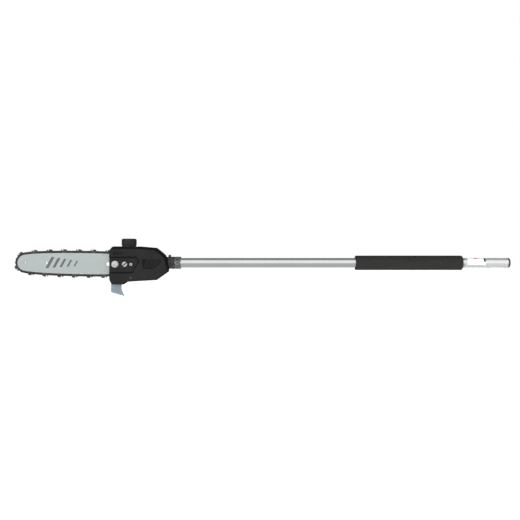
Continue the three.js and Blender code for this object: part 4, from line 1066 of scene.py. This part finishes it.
SPINDLE_Y = -29.8
# Painted shade: zinc deeper than the screw heads' faces, in the slot and down the sides in the hole, is
# painted near black, less metallic and rougher, standing in for shade. The grime noise is a real random tone.
PAINTED_SHADE_BELOW = -39.7
grimy_zinc_painted_shade, field, place = surface("grimy_zinc_painted_shade", 0.9, 0.3, (0.6, 0.6, 0.59))
deep_painted_shade = field.part(place, "y") > PAINTED_SHADE_BELOW * MM
grime = field.noise(place, 600, 4)
coat(
    grimy_zinc_painted_shade,
    Base_Color=deep_painted_shade.mix(grime.mix((0.42, 0.42, 0.41, 1), (0.8, 0.8, 0.79, 1)), (0.012, 0.012, 0.011, 1)),
    Metallic=0.95 - deep_painted_shade * 0.6,
    Roughness=0.24 + grime * 0.2 + deep_painted_shade * 0.3,
    Normal=field.bump(grime, 0.00004),
)
tension_gear = bevel_gear(bmesh.new(), 10, 10, 0.8, 2.4, 0.5)
tension_gear.transform(
    Matrix.Translation((BAR_SCREW[0], SPINDLE_Y, 0)) @ Matrix.Rotation(math.radians(-90), 4, "Z"))
tension_screw = bmesh.new()
turn(tension_screw, [
    (SPINDLE_Y - 3.6, 0), (SPINDLE_Y - 3.6, 2.9), (-37.5, 2.9), (-37.5, 6.9), (tension_low + 0.9, 6.9),
    (tension_low + 0.3, 6.6), (tension_low, 6.0), (tension_low, 0),
], "y", BAR_SCREW, 56)
slot_cut = slab(bmesh.new(), [(-9, -1.2), (9, -1.2), (9, 1.2), (-9, 1.2)], tension_low - 1, tension_low + 2.6)
slot_cut.transform(Matrix.Translation(BAR_SCREW) @ Matrix.Rotation(math.radians(-40), 4, "Y"))
tension_screw = carved(tension_screw, slot_cut)
tension_screw = carved(tension_screw, tension_gear, operation="UNION")
settle(tension_screw, "slotted_tension_screw", grimy_zinc_painted_shade, BAR_PLACE, "tension_input",
       ["tension_screw"])

bracket_bolt = socket_screw(4.1, -37.9, -40.2, 1.7, -34.4, "y", (40.6, 0, 0), 1.5)
settle(bracket_bolt, "bracket_bolt", grimy_zinc_painted_shade, BAR_PLACE, "head_and_pole",
       ["tension_bracket_screw"])

# ================================================================ the branch hook
# Stamped from 3 mm sheet and zinc-plated, with the punch's soft edge. Two button-head
# screws hold it to the housing behind the cover.
HOOK_SCREWS = [(-79.5, -49), (-62.5, -49)]
hook_low, hook_high = (corner.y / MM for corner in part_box("branch_hook"))
hook_outline = [(-84.5, -43.6), (-91, -56.5), (-91, -73.2)]
hook_outline += [tuple(p) for p in bezier((-91, -73.2), (-91, -76), (-88.2, -76.8), 6)[1:]]
hook_outline += [(-57.2, -85.7)]
hook_outline += [tuple(p) for p in bezier((-57.2, -85.7), (-55.8, -85.8), (-56.8, -83.7), 4)[1:]]
hook_outline += [tuple(p) for p in bezier((-56.8, -83.7), (-64.3, -71.5), (-64.4, -64), 14)[1:]]
hook_outline += [(-63.8, -57), (-57.5, -52), (-57.5, -43.6)]

hook_steel, field, place = surface("plated_hook_steel", 0.7, 0.42, (0.3, 0.37, 0.42))
rolled = field.noise(field.stretched(place, (40, 200, 9)), 2.0, 4)
spangle = field.noise(place, 90, 3)
coat(
    hook_steel,
    Base_Color=(rolled * 0.5 + spangle * 0.5).mix((0.24, 0.31, 0.36, 1), (0.4, 0.47, 0.52, 1)),
    Roughness=0.34 + rolled * 0.16,
    Normal=field.bump(rolled, 0.00003),
)
hook_holes = [tool_rod(2.6, (-25, -10), "y", (x, 0, z), 32) for x, z in HOOK_SCREWS]
hook = carved(slab(bmesh.new(), hook_outline, hook_low, hook_high), *hook_holes)
round_edges(hook, 0.35, 3, 50)
settle(hook, "hook_plate", hook_steel, HEAD_PLACE, "head_and_pole", ["branch_hook"])
for order, (x, z) in enumerate(HOOK_SCREWS, 1):
    screw = socket_screw(4.2, hook_low - 0.25, hook_low - 3.0, 2.0, -9.5, "y", (x, 0, z), 1.7)
    settle(screw, f"hook_bolt_{order}", bright_zinc, HEAD_PLACE, "head_and_pole",
           [f"hook_screw_{order}"])

# ================================================================ the oil cap
# A thick moulded cap with ribs all round for wet gloves. It screws down over the filler
# neck of the tank, onto a rubber ring.
cap_low, cap_high = (corner.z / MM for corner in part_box("oil_cap"))
CAP_FOOT = 19.0
CAP_SHOULDER = 18.5
CAP_RIBS = 36
cap_plastic = moulded("cap_nylon", (0.018, 0.018, 0.018), (0.038, 0.038, 0.038), 1400, 0.0001)

cap = bmesh.new()
turn(cap, [
    (cap_low, 14.0), (cap_low, 18.2), (cap_low + 0.3, 18.5), (cap_low + 1.8, 18.5), (cap_low + 2.4, 18.0),
    (cap_low + 3.0, CAP_FOOT), (cap_high - 2.2, CAP_SHOULDER), (cap_high - 1.1, CAP_SHOULDER - 0.3),
    (cap_high - 0.3, CAP_SHOULDER - 1.2), (cap_high, CAP_SHOULDER - 2.2), (cap_high - 0.15, 13.0),
    (cap_high - 1.0, 12.4), (cap_high - 1.0, 0), (cap_high - 6.8, 0), (cap_high - 6.8, 14.0),
], "z", (*CAP_AT, 0), 144)
cap_ribs = []
for step in range(CAP_RIBS):
    angle = step * 2 * math.pi / CAP_RIBS
    rib = bmesh.new()
    rib_profile = [
        (cap_low + 3.2, 0), (cap_low + 3.2, 0.5), (cap_low + 4.2, 0.95), (cap_high - 3.2, 0.9),
        (cap_high - 1.6, 0.4), (cap_high - 1.6, 0),
    ]
    rib_at = CAP_SHOULDER + 0.1
    centre = (CAP_AT[0] + rib_at * math.cos(angle), CAP_AT[1] + rib_at * math.sin(angle), 0)
    turn(rib, rib_profile, "z", centre, 8)
    cap_ribs.append(rib)
grips = bmesh.new()
for rib in cap_ribs:
    copy = bpy.data.meshes.new("rib")
    rib.to_mesh(copy)
    grips.from_mesh(copy)
    bpy.data.meshes.remove(copy)
    rib.free()
cap = carved(cap, grips, operation="UNION")
bar_grip = slab(
    bmesh.new(), [(-11.6, cap_high - 3), (11.6, cap_high - 3), (11.2, cap_high), (-11.2, cap_high)], -2, 2)
bar_grip.transform(Matrix.Translation((*CAP_AT, 0)) @ Matrix.Rotation(math.radians(18), 4, "Z"))
round_edges(bar_grip, 0.6, 3, 30)
cap = carved(cap, bar_grip, operation="UNION")
settle(cap, "filler_cap", cap_plastic, HEAD_PLACE, "filler_cap", ["oil_cap"], 40)

# ================================================================ the gear case
# One die casting under a dark wrinkle coat. The round box takes the bevel gears and the
# oil pump; the pole slides into the neck, and a screw through the boss keeps it there.
neck_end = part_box("gear_case")[1].x / MM - HEAD / MM
NECK_RADIUS = 16.0
NECK_BORE = 12.7

wrinkle_coat, field, place = surface("wrinkle_coat", 0.15, 0.5, (0.035, 0.034, 0.03))
crinkle = field.node("ShaderNodeTexVoronoi", {"feature": "DISTANCE_TO_EDGE"}, Vector=place, Scale=620.0)
ripple = field.noise(place, 480, 4, 0.7)
lumps = crinkle * 0.9 + ripple * 0.6
coat(
    wrinkle_coat,
    Base_Color=ripple.mix((0.01, 0.01, 0.0095, 1), (0.07, 0.069, 0.065, 1)),
    Roughness=0.36 + ripple * 0.3,
    Normal=field.bump(lumps, 0.0005, 0.9),
)


def tool_box(xs, ys, zs):
    """A cutting tool with flat sides."""
    (x0, x1), (z0, z1) = xs, zs
    return slab(bmesh.new(), [(x0, z0), (x1, z0), (x1, z1), (x0, z1)], *ys)


casting = bmesh.new()
turn(casting, [
    (8, 0), (8, 14.5), (48, 14.5), (51, NECK_RADIUS - 1.2), (54, NECK_RADIUS - 0.3), (55, NECK_RADIUS),
    (58, NECK_RADIUS), (59.2, NECK_RADIUS - 0.9), (61.6, NECK_RADIUS - 0.9), (62.8, NECK_RADIUS),
    (neck_end - 0.8, NECK_RADIUS), (neck_end, NECK_RADIUS - 0.7), (neck_end, 0),
], "x", (0, 0, 0), 72)
boss = bmesh.new()
turn(boss, [(10, 0), (10, 4.4), (15.2, 4.0), (16.6, 3.6), (17.0, 3.2), (17.0, 0)], "z", (58, 0, 0), 40)
gear_box = bmesh.new()
rod(gear_box, 20, (-12.9, 24.4), "y", (0, 0, 0), 96, 0.5)
shaft_barrel = tool_rod(12.4, (-18.2, -12.0), "y", (0, 0, 0), 72)
casting = carved(
    casting, boss, gear_box, shaft_barrel, tool_box((-18.8, -2), (4, 24.4), (-12, 24)), operation="UNION")
casting = carved(
    casting, tool_rod(16.3, (-10, 26), "y", (0, 0, 0), 96), tool_rod(8.2, (-12, -9), "y", (0, 0, 0)),
    tool_rod(9.55, (-19, -11), "y", (0, 0, 0)), tool_box((-15.4, -5.2), (13.1, 26), (-9, 19.4)),
    tool_rod(2.4, (-24, -14), "x", (0, 18.8, 13), 24), tool_rod(12.8, (8, 16), "x", (0, 0, 0)),
    tool_rod(11.05, (7, 34.6), "x", (0, 0, 0), 72), tool_rod(11.9, (33.1, 34.6), "x", (0, 0, 0), 72),
    tool_rod(9, (34, 52), "x", (0, 0, 0)), tool_rod(NECK_BORE, (50, 80), "x", (0, 0, 0), 72),
    tool_rod(1.9, (8, 25), "z", (58, 0, 0), 24),
)
settle(casting, "gear_case_casting", wrinkle_coat, HEAD_PLACE, "head_and_pole", ["gear_case"])

locating = socket_screw(3.3, 17.25, 20.9, 1.7, 13.1, "z", (58, 0, 0), 1.5)
settle(locating, "locating_bolt", dark_steel, HEAD_PLACE, "head_and_pole",
       ["pole_locating_screw"])

# ================================================================ the pole clamp
# A split ring of bare cast alloy squeezed by one screw across its ears, low on the
# cover's side. The casting's skin is left rough.
clamp_low, clamp_high = (corner.x / MM - HEAD / MM for corner in (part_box("pole_clamp")))
clamp_middle = (71.6 + 87.4) / 2
EAR_Y = -17.0

cast_alloy, field, place = surface("bare_cast_alloy", 0.75, 0.5, (0.16, 0.16, 0.15))
skin = field.noise(place, 380, 5, 0.65)
stain = field.noise(place, 90, 3)
coat(
    cast_alloy,
    Base_Color=(skin * 0.5 + stain * 0.5).mix((0.07, 0.07, 0.063, 1), (0.33, 0.33, 0.31, 1)),
    Roughness=0.34 + skin * 0.3,
    Normal=field.bump(skin, 0.0003, 0.8),
)

clamp = bmesh.new()
turn(clamp, [
    (clamp_low, NECK_BORE), (clamp_low, NECK_RADIUS - 0.6), (clamp_low + 0.6, NECK_RADIUS),
    (clamp_high - 1.4, NECK_RADIUS), (clamp_high, NECK_RADIUS - 1.2), (clamp_high, NECK_BORE),
], "x", (0, 0, 0), 72)
ears = bmesh.new()
bmesh.ops.create_cube(ears, size=1)
ears.transform(
    Matrix.Translation((clamp_middle - 0.5, -16.5, 0)) @ Matrix.Diagonal((12.8, 8.0, 13.0, 1)))
round_edges(ears, 1.6, 4, 30)
clamp = carved(clamp, ears, operation="UNION")
split = bmesh.new()
bmesh.ops.create_cube(split, size=1)
split.transform(Matrix.Translation((clamp_middle, -16, 0)) @ Matrix.Diagonal((20, 16, 1.6, 1)))
clamp = carved(
    clamp, split, tool_rod(NECK_BORE, (60, 100), "x", (0, 0, 0), 72),
    tool_rod(2.3, (-9, 9), "z", (clamp_middle, EAR_Y, 0), 32),
    tool_rod(3.8, (6.4, 14), "z", (clamp_middle, EAR_Y, 0), 32),
)
round_edges(clamp, 0.3, 2, 45)
settle(clamp, "clamp_ring", cast_alloy, HEAD_PLACE, "head_and_pole", ["pole_clamp"])
clamp_bolt = socket_screw(3.4, 6.75, 10.4, 2.1, -6.2, "z", (clamp_middle, EAR_Y, 0), 1.6)
settle(clamp_bolt, "clamp_bolt", dark_steel, HEAD_PLACE, "head_and_pole", ["clamp_screw"])

# ================================================================ what is inside the head
# The drive line, oil pump, tank and bearings keep the shapes of the model they come
# from, and take the finish of the metal or plastic that each one is made of.
turned_steel, field, place = surface("turned_steel", 1.0, 0.3, (0.42, 0.43, 0.44))
lathe = field.noise(field.stretched(place, (700, 700, 700)), 1.0, 3)
coat(
    turned_steel,
    Base_Color=lathe.mix((0.32, 0.33, 0.34, 1), (0.52, 0.53, 0.54, 1)),
    Roughness=0.2 + lathe * 0.22,
)
sintered, field, place = surface("sintered_bronze", 0.9, 0.4, (0.42, 0.26, 0.1))
pores = field.noise(place, 1500, 3)
coat(
    sintered,
    Base_Color=pores.mix((0.3, 0.18, 0.07, 1), (0.5, 0.32, 0.13, 1)),
    Roughness=0.35 + pores * 0.2,
    Normal=field.bump(pores, 0.00003),
)
tank_plastic, field, place = surface("natural_polyethylene", 0.0, 0.42, (0.7, 0.67, 0.55))
milk = field.noise(place, 40, 3)
coat(
    tank_plastic,
    Base_Color=milk.mix((0.6, 0.57, 0.46, 1), (0.78, 0.75, 0.64, 1)),
    Roughness=0.36 + milk * 0.14,
)

rims = bmesh.new()
turn(rims, [
    (CHAIN_Y - 2.4, 4.05), (CHAIN_Y - 2.4, 13.5), (CHAIN_Y - 2.1, 13.9), (CHAIN_Y - 1.1, 13.9),
    (CHAIN_Y - 0.8, 13.5), (CHAIN_Y - 0.8, 8.2), (CHAIN_Y + 0.8, 8.2), (CHAIN_Y + 0.8, 13.5),
    (CHAIN_Y + 1.1, 13.9), (CHAIN_Y + 2.1, 13.9), (CHAIN_Y + 2.4, 13.5), (CHAIN_Y + 2.4, 4.05),
], "y", (0, 0, 0), 72)
pockets = []
for step in range(6):
    angle = step * math.pi / 3
    pockets.append(tool_rod(1.8, (-30, -15), "y", (11.2 * math.cos(angle), 0, 11.2 * math.sin(angle)), 20))
rims = carved(rims, *pockets)
settle(rims, "rim_sprocket", turned_steel, HEAD_PLACE, "output_line", ["sprocket"])

inside = {
    turned_steel: [
        "pinion_shaft", "pinion_circlip", "crown_gear", "output_shaft", "sprocket_clip", "drive_shaft",
        "nose_bearing_hub", "nose_sprocket", "tension_spindle", "tension_slider",
    ],
    bright_zinc: [
        "sprocket_washer", "pinion_bearing_front", "pinion_bearing_rear", "output_bearing_near",
        "output_bearing_far", "tension_bracket",
    ],
    sintered: ["pump_worm", "pump_plunger"],
    tank_plastic: ["oil_tank", "shaft_bushing_1", "shaft_bushing_2", "shaft_bushing_3"],
    black_rubber: ["output_shaft_seal", "oil_cap_seal"],
    bar_steel: ["bar_core_plate"],
    wrinkle_coat: ["gear_case_lid", "bar_pad"],
    aluminium: ["pump_body"],
}
for finish, names in inside.items():
    for name in names:
        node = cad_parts[name]
        node.data.materials.clear()
        node.data.materials.append(finish)
